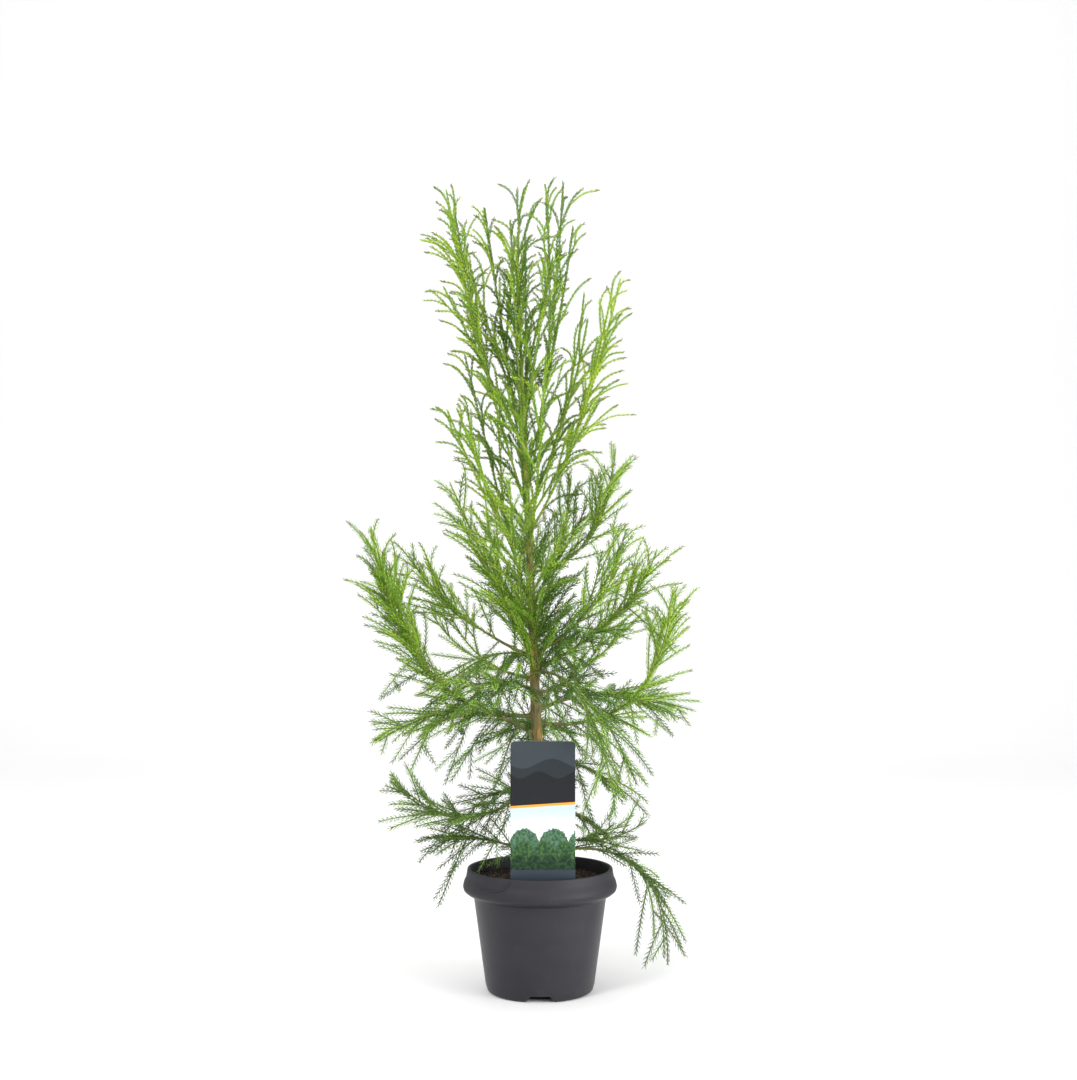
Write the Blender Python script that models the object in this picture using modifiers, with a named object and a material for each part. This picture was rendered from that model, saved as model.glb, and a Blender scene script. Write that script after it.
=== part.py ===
"""A young Japanese cedar in a round nursery pot, standing on the pot's flat underside.

Metres, +Z up, origin at the centre of the pot's underside. The plant is seen from -Y: +X is its right.
The trunk runs whole from the soil to the foot of the leader. Boughs leave it square, 0.35 mm clear, and end
where they enter a mass of foliage. Every mass grows from one stem by the rule in grow().
"""
import math
import random
from collections import namedtuple

import bmesh
import bpy
import numpy as np
from mathutils import Matrix, Vector

CM = 0.01
GAP = 0.00035           # between solids that touch on the real plant

# Pot, radii and heights.
POT_SIDES = 32
POT_HEIGHT = 0.161
RIM_RADIUS = 0.094
COLLAR_RADIUS = 0.1013
COLLAR_HEIGHT = 0.137
NECK_RADIUS = 0.0872
NECK_HEIGHT = 0.124
BASE_RADIUS = 0.0717
FOOT_RADIUS = 0.066
WALL = 0.0019
MOUTH_RADIUS = 0.0915
FLOOR_THICKNESS = 0.0025
CHANNEL_HEIGHT = 0.008  # drainage channel under the raised ring of the floor
CHANNEL_RADIUS = 0.049  # the channel's inner edge on the ground
CHANNEL_SLOPE = 0.004   # how far that side of the channel leans outwards
FOOT_WIDTH = 0.0025
NOTCHES = 3
NOTCH_WIDTH = 0.027

# Soil.
SOIL_TOP = 0.148
SOIL_DIP = 0.0035       # the soil is lower along the wall

# Plant label.
LABEL_WIDTH = 0.082
LABEL_TOP = 0.334
LABEL_BOTTOM = 0.156
LABEL_THICKNESS = 0.0008
LABEL_CORNER = 0.006
LABEL_X = 0.0035
LABEL_Y = -0.0765
TONGUE_WIDTH = 0.022
TONGUE_DEPTH = 0.052    # below the soil's surface

# Trunk.
TRUNK_FOOT = SOIL_TOP + GAP
TRUNK_TOP = 0.915
TRUNK_FOOT_RADIUS = 0.0102
TRUNK_TIP_RADIUS = 0.0014
TRUNK_TAPER = 1.45
TRUNK_LEAN = -0.029     # how far the tip stands to the left of the foot
TRUNK_LEAN_BEND = 1.3
FLARE = 0.0017
FLARE_HEIGHT = 0.012
TRUNK_SIDES = 12
TRUNK_RINGS = 17

# Limbs.
STUB = 0.003            # a limb leaves the trunk square for this length
BOUGH_ROOT_RADIUS = 0.0009
BOUGH_RADIUS_PER_REACH = 0.0095
BOUGH_TAPER = 0.62
BOUGH_RINGS = 5
POT_CLEARANCE = 0.006
LOWEST_TIP = 0.035      # no shoot reaches below this height, nor above the next
HIGHEST_TIP = 1.056
LIMB_POINTS = 40        # points on the paths of limbs, boughs, stems, forks, side shoots and the leader
BOUGH_POINTS = 24
STEM_POINTS = 30
FORK_POINTS = 14
SHOOT_POINTS = 12
LEADER_POINTS = 20

# A kind of foliage: radius of a shoot's core and of its needle whorls, length of a whorl, length of the side
# shoots at a stem's foot and tip, their angle from the stem, how far they leave the limb's own level, how much
# they curl upwards, and how far their tips nod outwards.
Kind = namedtuple("Kind", "core needle whorl foot_length tip_length angle spread curl nod")
KINDS = {
    "plume": Kind(0.0011, 0.0034, 0.052, 0.092, 0.046, 17, 1.0, 0.06, 0.18),
    "brush": Kind(0.0012, 0.0044, 0.039, 0.085, 0.045, 35, 0.8, 0.20, 0.12),
    "fan": Kind(0.0011, 0.0048, 0.035, 0.080, 0.040, 44, 0.35, 0.02, 0.03),
    "droop": Kind(0.0011, 0.0046, 0.036, 0.085, 0.045, 40, 0.45, -0.30, 0.00),
}
STEM_GIRTH = 1.15       # a stem's whorls are this much wider than a side shoot's
PHASE = 0.7             # each shoot of a mass is turned on by this many radians
FINE_FOOT = 0.0006      # a side shoot's foot, sunk to the middle of its stem
GOLDEN_ANGLE = math.radians(137.5)
TRUNK = -1              # the trunk's owner number in the room; limbs have their place in LIMBS
ANYONE = -2             # an owner that has taken nothing yet
SHORTEST_SHOOT = 0.022
ROOT_TAPER = 0.45       # a side shoot's whorls are this much slimmer at its foot
CLEARANCE = 0.0012      # between the whorls of different masses
SAMPLE = 0.004          # spacing of the points at which room is tested
FOOT_SAMPLES = 3        # the first points of a shoot lie in its own stem and aren't tested
SHOOT_START = 3         # a few more are tested against other limbs only
FORK_START = 9
STEM_START = 5          # a stem's first points lie beside the trunk and aren't tested
OWN_SHARE = 0.60        # shoots of one mass may lie this much closer

# A limb: height of its root on the trunk, azimuth in degrees from +X towards +Y, reach, height of its tip, and
# its elbow, which pulls its curve, at a share of the reach and at a height. Heights and reaches are centimetres.
# wood is the share of its length that is a bare bough. A fork is the rest of the stem from a share of its length,
# turned about the vertical by some degrees and scaled.
Limb = namedtuple("Limb", "name root azimuth reach tip elbow elbow_height wood kind forks")
LIMBS = [
    Limb("low_right", 18.2, -2, 16.8, 3.7, 1.02, 21.0, 0.20, "droop", ((0.34, -11, 0.90), (0.22, 14, 0.80))),
    Limb("low_right_fan", 20.4, 10, 14.2, 21.6, 0.60, 17.8, 0.0, "fan", ((0.20, 24, 0.70), (0.30, -24, 0.80))),
    Limb("low_left", 18.0, 172, 15.6, 19.6, 0.50, 20.5, 0.19, "fan", ((0.25, 20, 0.70), (0.20, -24, 0.75))),
    Limb("left_fan", 26.5, 188, 19.2, 27.6, 0.55, 18.5, 0.20, "fan", ((0.10, -16, 1.02), (0.22, 22, 0.75))),
    Limb("right_fan", 29.5, 14, 12.2, 24.6, 0.55, 31.0, 0.14, "droop", ((0.20, 30, 0.90), (0.30, -26, 0.80))),
    Limb("low_back_right", 21.0, 62, 16.0, 17.5, 0.60, 25.0, 0.0, "droop", ((0.25, 26, 0.80), (0.35, -26, 0.75))),
    Limb("low_back_left", 24.0, 118, 17.0, 20.5, 0.60, 28.0, 0.0, "fan", ((0.25, 24, 0.80), (0.35, -26, 0.75))),
    Limb("left_main", 36.0, 184, 21.6, 60.6, 0.80, 35.5, 0.15, "brush", ((0.16, 16, 0.78), (0.30, -16, 0.80))),
    Limb("left_skirt", 34.0, 203, 21.5, 33.5, 0.50, 40.0, 0.15, "fan", ((0.12, -24, 1.0), (0.25, 20, 0.75))),
    Limb("left_upper", 44.0, 163, 17.6, 57.3, 0.72, 49.0, 0.18, "brush", ((0.20, 24, 0.75), (0.35, -26, 0.70))),
    Limb("left_inner", 43.8, 222, 15.5, 40.0, 0.50, 46.0, 0.11, "fan", ((0.22, -24, 0.95), (0.35, 30, 0.70))),
    Limb("right_main", 35.0, -4, 18.3, 52.0, 0.88, 33.5, 0.17, "brush", ((0.12, -18, 1.02), (0.30, 18, 0.80))),
    Limb("right_skirt", 37.0, 18, 21.5, 35.8, 0.50, 41.0, 0.15, "fan", ((0.15, -26, 0.80), (0.22, 24, 0.85))),
    Limb("right_upper", 42.6, 4, 16.2, 57.6, 0.80, 48.0, 0.18, "brush", ((0.20, 22, 0.85), (0.35, -20, 0.75))),
    Limb("right_mid", 44.5, -26, 13.2, 60.0, 0.70, 48.5, 0.15, "brush", ((0.20, 24, 0.75), (0.30, -22, 0.80))),
    Limb("front_right", 41.8, -50, 15.2, 27.6, 0.72, 42.5, 0.15, "droop", ((0.14, 20, 1.0), (0.35, -22, 0.65))),
    Limb("front_left", 39.6, 238, 16.5, 39.5, 0.60, 42.0, 0.15, "fan", ((0.18, -22, 0.95), (0.30, 24, 0.70))),
    Limb("front_riser", 47.5, 252, 9.5, 66.0, 0.60, 50.0, 0.0, "brush", ((0.15, 34, 0.80), (0.35, -30, 0.80))),
    Limb("back_right", 39.0, 56, 19.5, 49.5, 0.70, 39.5, 0.18, "brush", ((0.18, 22, 0.85), (0.30, -24, 0.80))),
    Limb("back_left", 41.0, 132, 19.0, 51.0, 0.70, 41.5, 0.18, "brush", ((0.18, 22, 0.85), (0.30, -24, 0.80))),
    Limb("back_mid", 45.5, 93, 16.5, 59.5, 0.75, 46.0, 0.18, "brush", ((0.18, 26, 0.85), (0.30, -26, 0.80))),
    Limb("back_skirt", 32.5, 94, 19.5, 30.5, 0.55, 37.5, 0.15, "fan", ((0.16, 24, 0.90), (0.25, -24, 0.85))),
    Limb("left_riser", 45.0, 192, 11.0, 66.2, 0.42, 52.0, 0.0, "brush", ((0.16, 20, 0.84), (0.30, -26, 0.80))),
    Limb("right_limb", 55.0, -14, 11.3, 70.4, 0.88, 56.5, 0.15, "brush", ((0.10, 24, 0.86), (0.32, -20, 0.80))),
    Limb("inner_riser", 50.0, 40, 6.8, 67.5, 0.75, 54.5, 0.0, "brush", ((0.20, 40, 0.85), (0.35, -30, 0.75))),
    Limb("left_tall", 52.0, 158, 9.6, 83.8, 0.42, 62.0, 0.0, "plume", ((0.20, 20, 0.74), (0.34, -24, 0.78))),
    Limb("crown_left", 57.5, 196, 11.0, 75.6, 0.50, 62.0, 0.0, "plume", ((0.16, 20, 0.80), (0.32, -22, 0.80))),
    Limb("crown_front", 58.5, -74, 7.6, 82.0, 0.55, 66.0, 0.0, "plume", ((0.16, 28, 0.80), (0.30, -32, 0.80))),
    Limb("crown_back", 56.5, 100, 9.5, 81.0, 0.55, 64.5, 0.0, "plume", ((0.16, 28, 0.80), (0.36, -28, 0.80))),
    Limb("right_vase", 61.0, -3, 12.0, 93.2, 0.60, 72.0, 0.0, "plume", ((0.12, 16, 0.74), (0.24, -18, 0.90))),
    Limb("vase_inner", 64.0, 16, 7.8, 91.8, 0.80, 76.0, 0.0, "plume", ((0.30, -16, 0.80),)),
    Limb("top_left_outer", 65.0, 183, 10.6, 104.8, 0.66, 85.0, 0.0, "plume", ((0.30, 14, 0.86), (0.42, -15, 1.0))),
    Limb("top_left", 69.5, 150, 6.4, 103.4, 0.55, 86.0, 0.0, "plume", ((0.22, 24, 0.84), (0.40, -22, 0.94))),
    Limb("top_right", 67.5, -16, 5.0, 105.6, 0.80, 86.0, 0.0, "plume", ((0.22, 16, 0.88), (0.36, -20, 0.92))),
    Limb("top_front", 68.5, 252, 6.4, 99.5, 0.60, 84.0, 0.0, "plume", ((0.20, 14, 0.84), (0.36, -26, 0.84))),
    Limb("top_back", 66.5, 92, 7.0, 100.5, 0.60, 82.0, 0.0, "plume", ((0.20, 26, 0.84), (0.36, -12, 0.84))),
]
LEADER_TIP = 1.052
LEADER_NOD = 0.008
LEADER_SEED = 7
LEADER_SIDE = -50       # its tips nod towards this azimuth

BARK = ((0.30, 0.20, 0.11), 0.85)
YOUNG_WOOD = ((0.25, 0.24, 0.08), 0.75)
NEEDLES_LIGHT = ((0.20, 0.38, 0.03), 0.6)
NEEDLES_DEEP = ((0.10, 0.24, 0.03), 0.6)

for old in list(bpy.data.objects):
    bpy.data.objects.remove(old, do_unlink=True)

PARTS = bpy.data.collections.new("japanese_cedar")
CUTTERS = bpy.data.collections.new("cutters")
bpy.context.scene.collection.children.link(PARTS)
bpy.context.scene.collection.children.link(CUTTERS)


def give_material(obj, colour, roughness, metallic=0.0):
    """Gives an object its own Principled material."""
    material = bpy.data.materials.new(obj.name)
    material.use_nodes = True
    shader = material.node_tree.nodes["Principled BSDF"]
    shader.inputs["Base Color"].default_value = (*colour, 1.0)
    shader.inputs["Roughness"].default_value = roughness
    shader.inputs["Metallic"].default_value = metallic
    obj.data.materials.append(material)


def mesh_object(name, vertices, faces, collection=PARTS):
    mesh = bpy.data.meshes.new(name)
    mesh.from_pydata([tuple(float(value) for value in point) for point in vertices], [], faces)
    obj = bpy.data.objects.new(name, mesh)
    collection.objects.link(obj)
    return obj


def turned(name, profile, sides):
    """A turned solid: the profile runs from the axis out, over the top and down its outer side to the axis."""
    points = [(radius, 0.0, height) for radius, height in profile]
    edges = [(index, index + 1) for index in range(len(points) - 1)]
    mesh = bpy.data.meshes.new(name)
    mesh.from_pydata(points, edges, [])
    obj = bpy.data.objects.new(name, mesh)
    PARTS.objects.link(obj)
    screw = obj.modifiers.new("turn", "SCREW")
    screw.steps = sides
    screw.render_steps = sides
    screw.use_merge_vertices = True
    screw.merge_threshold = 0.00005
    screw.use_smooth_shade = True
    return obj


def cut(obj, cutter):
    boolean = obj.modifiers.new("cut", "BOOLEAN")
    boolean.operation = "DIFFERENCE"
    boolean.object = cutter


def cutter_box(name, size, location, turn=0.0):
    """A box that cuts others: it is drawn as wire and left out of renders."""
    bpy.ops.mesh.primitive_cube_add(size=1.0, location=location, rotation=(0.0, 0.0, turn))
    box = bpy.context.object
    box.name = name
    box.scale = size
    for collection in box.users_collection:
        collection.objects.unlink(box)
    CUTTERS.objects.link(box)
    box.hide_render = True
    box.display_type = "WIRE"
    return box


def make_pot():
    inner_foot = BASE_RADIUS - WALL
    ring = CHANNEL_HEIGHT + FLOOR_THICKNESS
    profile = [
        (0.0, FLOOR_THICKNESS),
        (CHANNEL_RADIUS - WALL, FLOOR_THICKNESS),
        (CHANNEL_RADIUS + CHANNEL_SLOPE - WALL, ring),
        (inner_foot, ring),
        (NECK_RADIUS - WALL, NECK_HEIGHT),
        (MOUTH_RADIUS, NECK_HEIGHT + 0.010),
        (MOUTH_RADIUS, POT_HEIGHT - 0.002),
        (RIM_RADIUS, POT_HEIGHT),
        (RIM_RADIUS + 0.0020, POT_HEIGHT - 0.002),
        (RIM_RADIUS + 0.0030, POT_HEIGHT - 0.011),
        (COLLAR_RADIUS - 0.0012, COLLAR_HEIGHT + 0.006),
        (COLLAR_RADIUS, COLLAR_HEIGHT),
        (COLLAR_RADIUS - 0.0013, COLLAR_HEIGHT - 0.005),
        (COLLAR_RADIUS - 0.0063, COLLAR_HEIGHT - 0.009),
        (NECK_RADIUS, NECK_HEIGHT),
        (BASE_RADIUS, 0.010),
        (BASE_RADIUS - 0.0022, 0.0025),
        (FOOT_RADIUS, 0.0),
        (FOOT_RADIUS - FOOT_WIDTH, 0.0),
        (FOOT_RADIUS - FOOT_WIDTH, CHANNEL_HEIGHT),
        (CHANNEL_RADIUS + CHANNEL_SLOPE, CHANNEL_HEIGHT),
        (CHANNEL_RADIUS, 0.0),
        (0.0, 0.0),
    ]
    pot = turned("pot", profile, POT_SIDES)
    for index in range(NOTCHES):
        turn = -math.pi / 2 + index * 2 * math.pi / NOTCHES
        middle = FOOT_RADIUS + 0.002
        place = (middle * math.cos(turn), middle * math.sin(turn), 0.0)
        cut(pot, cutter_box(f"notch_{index + 1}", (0.016, NOTCH_WIDTH, 2 * CHANNEL_HEIGHT - 0.001), place, turn))
    give_material(pot, (0.075, 0.076, 0.080), 0.5)


def make_soil():
    inner_foot = BASE_RADIUS - WALL - GAP
    ring = CHANNEL_HEIGHT + FLOOR_THICKNESS + GAP
    profile = [
        (0.0, SOIL_TOP),
        (0.020, SOIL_TOP),
        (0.070, SOIL_TOP - 0.3 * SOIL_DIP),
        (MOUTH_RADIUS - GAP, SOIL_TOP - SOIL_DIP),
        (MOUTH_RADIUS - GAP, NECK_HEIGHT + 0.010),
        (NECK_RADIUS - WALL - GAP, NECK_HEIGHT),
        (inner_foot, ring),
        (CHANNEL_RADIUS + CHANNEL_SLOPE - WALL - GAP, ring),
        (CHANNEL_RADIUS - WALL - GAP, FLOOR_THICKNESS + GAP),
        (0.0, FLOOR_THICKNESS + GAP),
    ]
    soil = turned("soil", profile, POT_SIDES)
    slot = (TONGUE_WIDTH + 2 * GAP, LABEL_THICKNESS + 2 * GAP, 2 * (TONGUE_DEPTH + GAP))
    cut(soil, cutter_box("label_slot", slot, (LABEL_X, LABEL_Y, SOIL_TOP)))
    give_material(soil, (0.035, 0.022, 0.014), 0.95)


def make_label():
    """A card with round top corners and a tongue that stands in the soil."""
    half = LABEL_WIDTH / 2
    foot = SOIL_TOP - TONGUE_DEPTH
    outline = [(-TONGUE_WIDTH / 2, foot), (TONGUE_WIDTH / 2, foot)]
    outline += [(TONGUE_WIDTH / 2, LABEL_BOTTOM), (half, LABEL_BOTTOM)]
    for side, first in ((1, 0.0), (-1, 90.0)):
        for step in range(4):
            angle = math.radians(first + 30.0 * step)
            middle = side * (half - LABEL_CORNER)
            outline.append((middle + LABEL_CORNER * math.cos(angle), LABEL_TOP - LABEL_CORNER * (1 - math.sin(angle))))
    outline += [(-half, LABEL_BOTTOM), (-TONGUE_WIDTH / 2, LABEL_BOTTOM)]
    curve = bpy.data.curves.new("label_outline", "CURVE")
    curve.dimensions = "2D"
    curve.fill_mode = "BOTH"
    curve.extrude = LABEL_THICKNESS / 2
    spline = curve.splines.new("POLY")
    spline.points.add(len(outline) - 1)
    for point, (across, height) in zip(spline.points, outline):
        point.co = (across, height, 0.0, 1.0)
    spline.use_cyclic_u = True
    card = bpy.data.objects.new("plant_label", curve)
    PARTS.objects.link(card)
    card.location = (LABEL_X, LABEL_Y, 0.0)
    card.rotation_euler = (math.pi / 2, 0.0, 0.0)
    give_material(card, (0.12, 0.14, 0.16), 0.35)


def trunk_share(height):
    return min(max((height - TRUNK_FOOT) / (TRUNK_TOP - TRUNK_FOOT), 0.0), 1.0)


def trunk_axis(height):
    return np.array([TRUNK_LEAN * trunk_share(height) ** TRUNK_LEAN_BEND, 0.0, height])


def trunk_radius(height):
    """Taper by a power of the height left, with a flare that fades out above the soil."""
    taper = (TRUNK_FOOT_RADIUS - TRUNK_TIP_RADIUS) * (1 - trunk_share(height)) ** TRUNK_TAPER
    return TRUNK_TIP_RADIUS + taper + FLARE * math.exp(-(height - TRUNK_FOOT) / FLARE_HEIGHT)


def tube(name, points, radii, resolution, collection=PARTS):
    """A round tube along points: 4 + 2 * resolution sides, with filled caps."""
    curve = bpy.data.curves.new(name, "CURVE")
    curve.dimensions = "3D"
    curve.bevel_depth = 1.0
    curve.bevel_resolution = resolution
    curve.use_fill_caps = True
    spline = curve.splines.new("POLY")
    spline.points.add(len(points) - 1)
    for control, point, radius in zip(spline.points, points, radii):
        control.co = (*point, 1.0)
        control.radius = radius
    obj = bpy.data.objects.new(name, curve)
    collection.objects.link(obj)
    return obj


def make_trunk():
    step = 0.006
    heights = [TRUNK_FOOT, TRUNK_FOOT + step, TRUNK_FOOT + 3 * step]
    heights += list(np.linspace(TRUNK_FOOT + 6 * step, TRUNK_TOP, TRUNK_RINGS - 3))
    points = [trunk_axis(height) for height in heights]
    points[1][0] = points[0][0]
    trunk = tube("trunk", points, [trunk_radius(height) for height in heights], (TRUNK_SIDES - 4) // 2)
    give_material(trunk, *BARK)


def direction(azimuth):
    angle = math.radians(azimuth)
    return np.array([math.cos(angle), math.sin(angle), 0.0])


def limb_path(limb, count):
    """Square out of the trunk for a stub, then a quadratic curve pulled by the elbow to the tip."""
    out = direction(limb.azimuth)
    height = limb.root * CM
    axis = trunk_axis(height)
    root = axis + out * (trunk_radius(height) + GAP)
    start = root + out * STUB
    elbow = axis + out * limb.elbow * limb.reach * CM
    elbow[2] = limb.elbow_height * CM
    tip = axis + out * limb.reach * CM
    tip[2] = limb.tip * CM
    share = np.linspace(0.0, 1.0, count)[:, None]
    curve = (1 - share) ** 2 * start + 2 * share * (1 - share) * elbow + share ** 2 * tip
    return np.vstack([root, curve])


def leader_path(count):
    """Up from the trunk's tip, nodding to the right at the very end."""
    foot = trunk_axis(TRUNK_TOP)
    foot[2] += GAP
    share = np.linspace(0.0, 1.0, count)[:, None]
    rise = np.array([0.0, 0.0, LEADER_TIP - foot[2]])
    return foot + share * rise + share ** 5 * np.array([LEADER_NOD, 0.0, 0.0])


def lengths_along(path):
    steps = np.linalg.norm(np.diff(path, axis=0), axis=1)
    return np.concatenate([[0.0], np.cumsum(steps)])


def read_path(path, distances):
    """Points of a path at distances along it."""
    along = lengths_along(path)
    return np.stack([np.interp(distances, along, path[:, axis]) for axis in range(3)], axis=1)


def part_of_path(path, first, last, count):
    """The stretch of a path between two shares of its length."""
    total = lengths_along(path)[-1]
    return read_path(path, np.linspace(first * total, last * total, count))


def bough_radius(limb, share):
    root = BOUGH_ROOT_RADIUS + BOUGH_RADIUS_PER_REACH * limb.reach * CM
    return root * (1 - (1 - BOUGH_TAPER) * share)


def make_bough(limb, path):
    total = lengths_along(path)[-1]
    shares = np.concatenate([[0.0], np.linspace(STUB / total, limb.wood, BOUGH_RINGS)])
    points = read_path(path, shares * total)
    radii = [bough_radius(limb, share / limb.wood) for share in shares]
    bough = tube("bough_" + limb.name, points, radii, 1)
    give_material(bough, *(BARK if limb.reach > 15.0 else YOUNG_WOOD))


def frames(path):
    """Unit tangents of a path and two directions across it, carried along without twisting."""
    tangents = np.gradient(path, axis=0)
    tangents /= np.linalg.norm(tangents, axis=1)[:, None]
    across = np.cross(tangents[0], [0.31, 0.17, 0.94])
    first = [across / np.linalg.norm(across)]
    for tangent in tangents[1:]:
        carried = first[-1] - tangent * np.dot(first[-1], tangent)
        first.append(carried / np.linalg.norm(carried))
    first = np.array(first)
    return tangents, first, np.cross(tangents, first)


class Room:
    """Where there is room: points with radii, each owned by a limb, that other limbs keep clear of."""

    def __init__(self):
        self.points = np.empty((0, 3))
        self.radii = np.empty(0)
        self.owners = np.empty(0, dtype=int)

    def take(self, owner, points, radii):
        self.points = np.vstack([self.points, points])
        self.radii = np.concatenate([self.radii, radii])
        self.owners = np.concatenate([self.owners, np.full(len(points), owner)])

    def free(self, owner, points, radius, own_start):
        """How many of the points, from the first, lie clear of the other shoots and of pot and label."""
        apart = np.linalg.norm(points[:, None, :] - self.points[None], axis=2)
        wanted = radius + self.radii + CLEARANCE
        own = self.owners == owner
        clear = (apart > np.where(own, OWN_SHARE * wanted, wanted))
        clear[:own_start, own] = True
        clear = clear.all(axis=1)
        beside = np.hypot(points[:, 0], points[:, 1])
        over_pot = (beside < COLLAR_RADIUS + POT_CLEARANCE) & (points[:, 2] < POT_HEIGHT + POT_CLEARANCE)
        by_label = np.abs(points[:, 0] - LABEL_X) < LABEL_WIDTH / 2 + POT_CLEARANCE
        by_label &= points[:, 1] < LABEL_Y + 2 * POT_CLEARANCE
        by_label &= points[:, 2] < LABEL_TOP + POT_CLEARANCE
        clear &= ~over_pot & ~by_label & (points[:, 2] > LOWEST_TIP) & (points[:, 2] < HIGHEST_TIP)
        return len(clear) if clear.all() else int(np.argmin(clear))


def shoot_path(foot, heading, length, curl, nod, out):
    """A shoot: straight, curling by the square of the way along, with a tip that nods outwards."""
    share = np.linspace(0.0, 1.0, SHOOT_POINTS)[:, None]
    up = np.array([0.0, 0.0, 1.0])
    bent = heading * share + up * curl * share ** 2 + (out - 0.35 * up) * nod * share ** 5
    return foot + length * bent


def whorl_count(kind, path):
    return max(2, round(lengths_along(path)[-1] / kind.whorl))


def across_limb(tangent):
    """Level across a limb, and the normal of the limb's own level."""
    level = np.cross(tangent, [0.0, 0.0, 1.0])
    level /= max(np.linalg.norm(level), 1e-6)
    return level, np.cross(level, tangent)


def side_shoots(kind, stem, out, seed, taken=()):
    """One side shoot between each two whorls: they turn by the golden angle, flattened towards the limb's level."""
    draw = random.Random(seed)
    whorls = whorl_count(kind, stem)
    total = lengths_along(stem)[-1]
    tangents, _, _ = frames(stem)
    turn = draw.uniform(0.0, 2 * math.pi)
    for node in range(1, whorls):
        share = node / whorls
        foot = read_path(stem, [share * total])[0]
        tangent = tangents[round(share * (len(stem) - 1))]
        level, lift = across_limb(tangent)
        turn += GOLDEN_ANGLE
        around = level * math.cos(turn) + lift * math.sin(turn) * kind.spread
        around /= np.linalg.norm(around)
        angle = math.radians(kind.angle * draw.uniform(0.85, 1.2))
        heading = tangent * math.cos(angle) + around * math.sin(angle)
        length = kind.foot_length + (kind.tip_length - kind.foot_length) * share
        length *= draw.uniform(0.75, 1.2)
        if node not in taken:
            yield shoot_path(foot, heading, length, kind.curl, kind.nod, out)


def fork_node(kind, stem, fork):
    """The gap between two whorls that is nearest to a fork's share of the stem."""
    whorls = whorl_count(kind, stem)
    return min(max(1, round(fork[0] * whorls)), whorls - 1)


def fork_path(kind, stem, fork):
    """The rest of the stem from a node, turned in the limb's own level and scaled."""
    _, turn, scale = fork
    share = fork_node(kind, stem, fork) / whorl_count(kind, stem)
    rest = part_of_path(stem, share, 1.0, FORK_POINTS)
    tangent = rest[1] - rest[0]
    _, normal = across_limb(tangent / np.linalg.norm(tangent))
    turning = Matrix.Rotation(math.radians(turn), 3, Vector(normal))
    return rest[0] + (rest - rest[0]) @ np.array(turning).T * scale


def fit(room, owner, path, radius, own_start=SHOOT_START):
    """The part of a shoot, from its foot, that has room, or nothing where it would be too short."""
    total = lengths_along(path)[-1]
    points = read_path(path, np.arange(0.0, total, SAMPLE))
    free = room.free(owner, points[FOOT_SAMPLES:], radius, own_start) + FOOT_SAMPLES
    if free < len(points):
        total = (free - 2) * SAMPLE
        if total < SHORTEST_SHOOT:
            return None
        path = read_path(path, np.linspace(0.0, total, len(path)))
        points = read_path(path, np.arange(0.0, total, SAMPLE))
    room.take(owner, points, np.full(len(points), radius))
    return path


def spray(name, path, kind, foot_radius, phase, girth=1.0):
    """A shoot of needles: a three-sided core on which each whorl widens to three needle tips and steps back."""
    total = lengths_along(path)[-1]
    whorls = whorl_count(kind, path)
    length = total / whorls
    distances, radii, turns = [0.0], [foot_radius], [0.0]
    for index in range(whorls):
        grown = min(1.0, ROOT_TAPER + (1 - ROOT_TAPER) * 2.2 * (index + 0.7) / whorls)
        tip_taper = 1.0 if index < whorls - 1 else 0.7
        distances += [(index + 0.72) * length]
        radii += [kind.needle * girth * grown * tip_taper]
        turns += [index * math.pi / 3]
        if index < whorls - 1:
            distances += [(index + 0.98) * length]
            radii += [kind.core * (1.0 - 0.4 * index / whorls)]
            turns += [index * math.pi / 3]
    points = read_path(path, distances)
    _, first, second = frames(path)
    nearest = [int(np.argmin(np.abs(lengths_along(path) - distance))) for distance in distances]
    first, second = first[nearest], second[nearest]
    vertices, faces = [], [(2, 1, 0)]
    for point, radius, turn, one, two in zip(points, radii, turns, first, second):
        for corner in range(3):
            angle = phase + turn + corner * 2 * math.pi / 3
            vertices.append(point + radius * (one * math.cos(angle) + two * math.sin(angle)))
    for ring in range(len(points) - 1):
        for corner in range(3):
            here, after = 3 * ring + corner, 3 * ring + (corner + 1) % 3
            faces += [(here, after, here + 3), (after, after + 3, here + 3)]
    vertices.append(path[-1])
    last = 3 * (len(points) - 1)
    faces += [(last, last + 1, last + 3), (last + 1, last + 2, last + 3), (last + 2, last, last + 3)]
    return mesh_object(name, vertices, faces, SPRAYS)


def largest_shell(mesh):
    """Keeps the largest shell of faces that share edges: a scrap or the wall of a sealed hollow goes."""
    shape = bmesh.new()
    shape.from_mesh(mesh)
    bmesh.ops.triangulate(shape, faces=shape.faces)
    waiting = set(shape.faces)
    shells = []
    while waiting:
        front = [waiting.pop()]
        shell = set(front)
        while front:
            for edge in front.pop().edges:
                for face in edge.link_faces:
                    if face in waiting:
                        waiting.remove(face)
                        shell.add(face)
                        front.append(face)
        shells.append(shell)
    keep = max(shells, key=len)
    bmesh.ops.delete(shape, geom=[face for face in shape.faces if face not in keep], context="FACES")
    bmesh.ops.recalc_face_normals(shape, faces=shape.faces)
    shape.to_mesh(mesh)
    shape.free()


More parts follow.
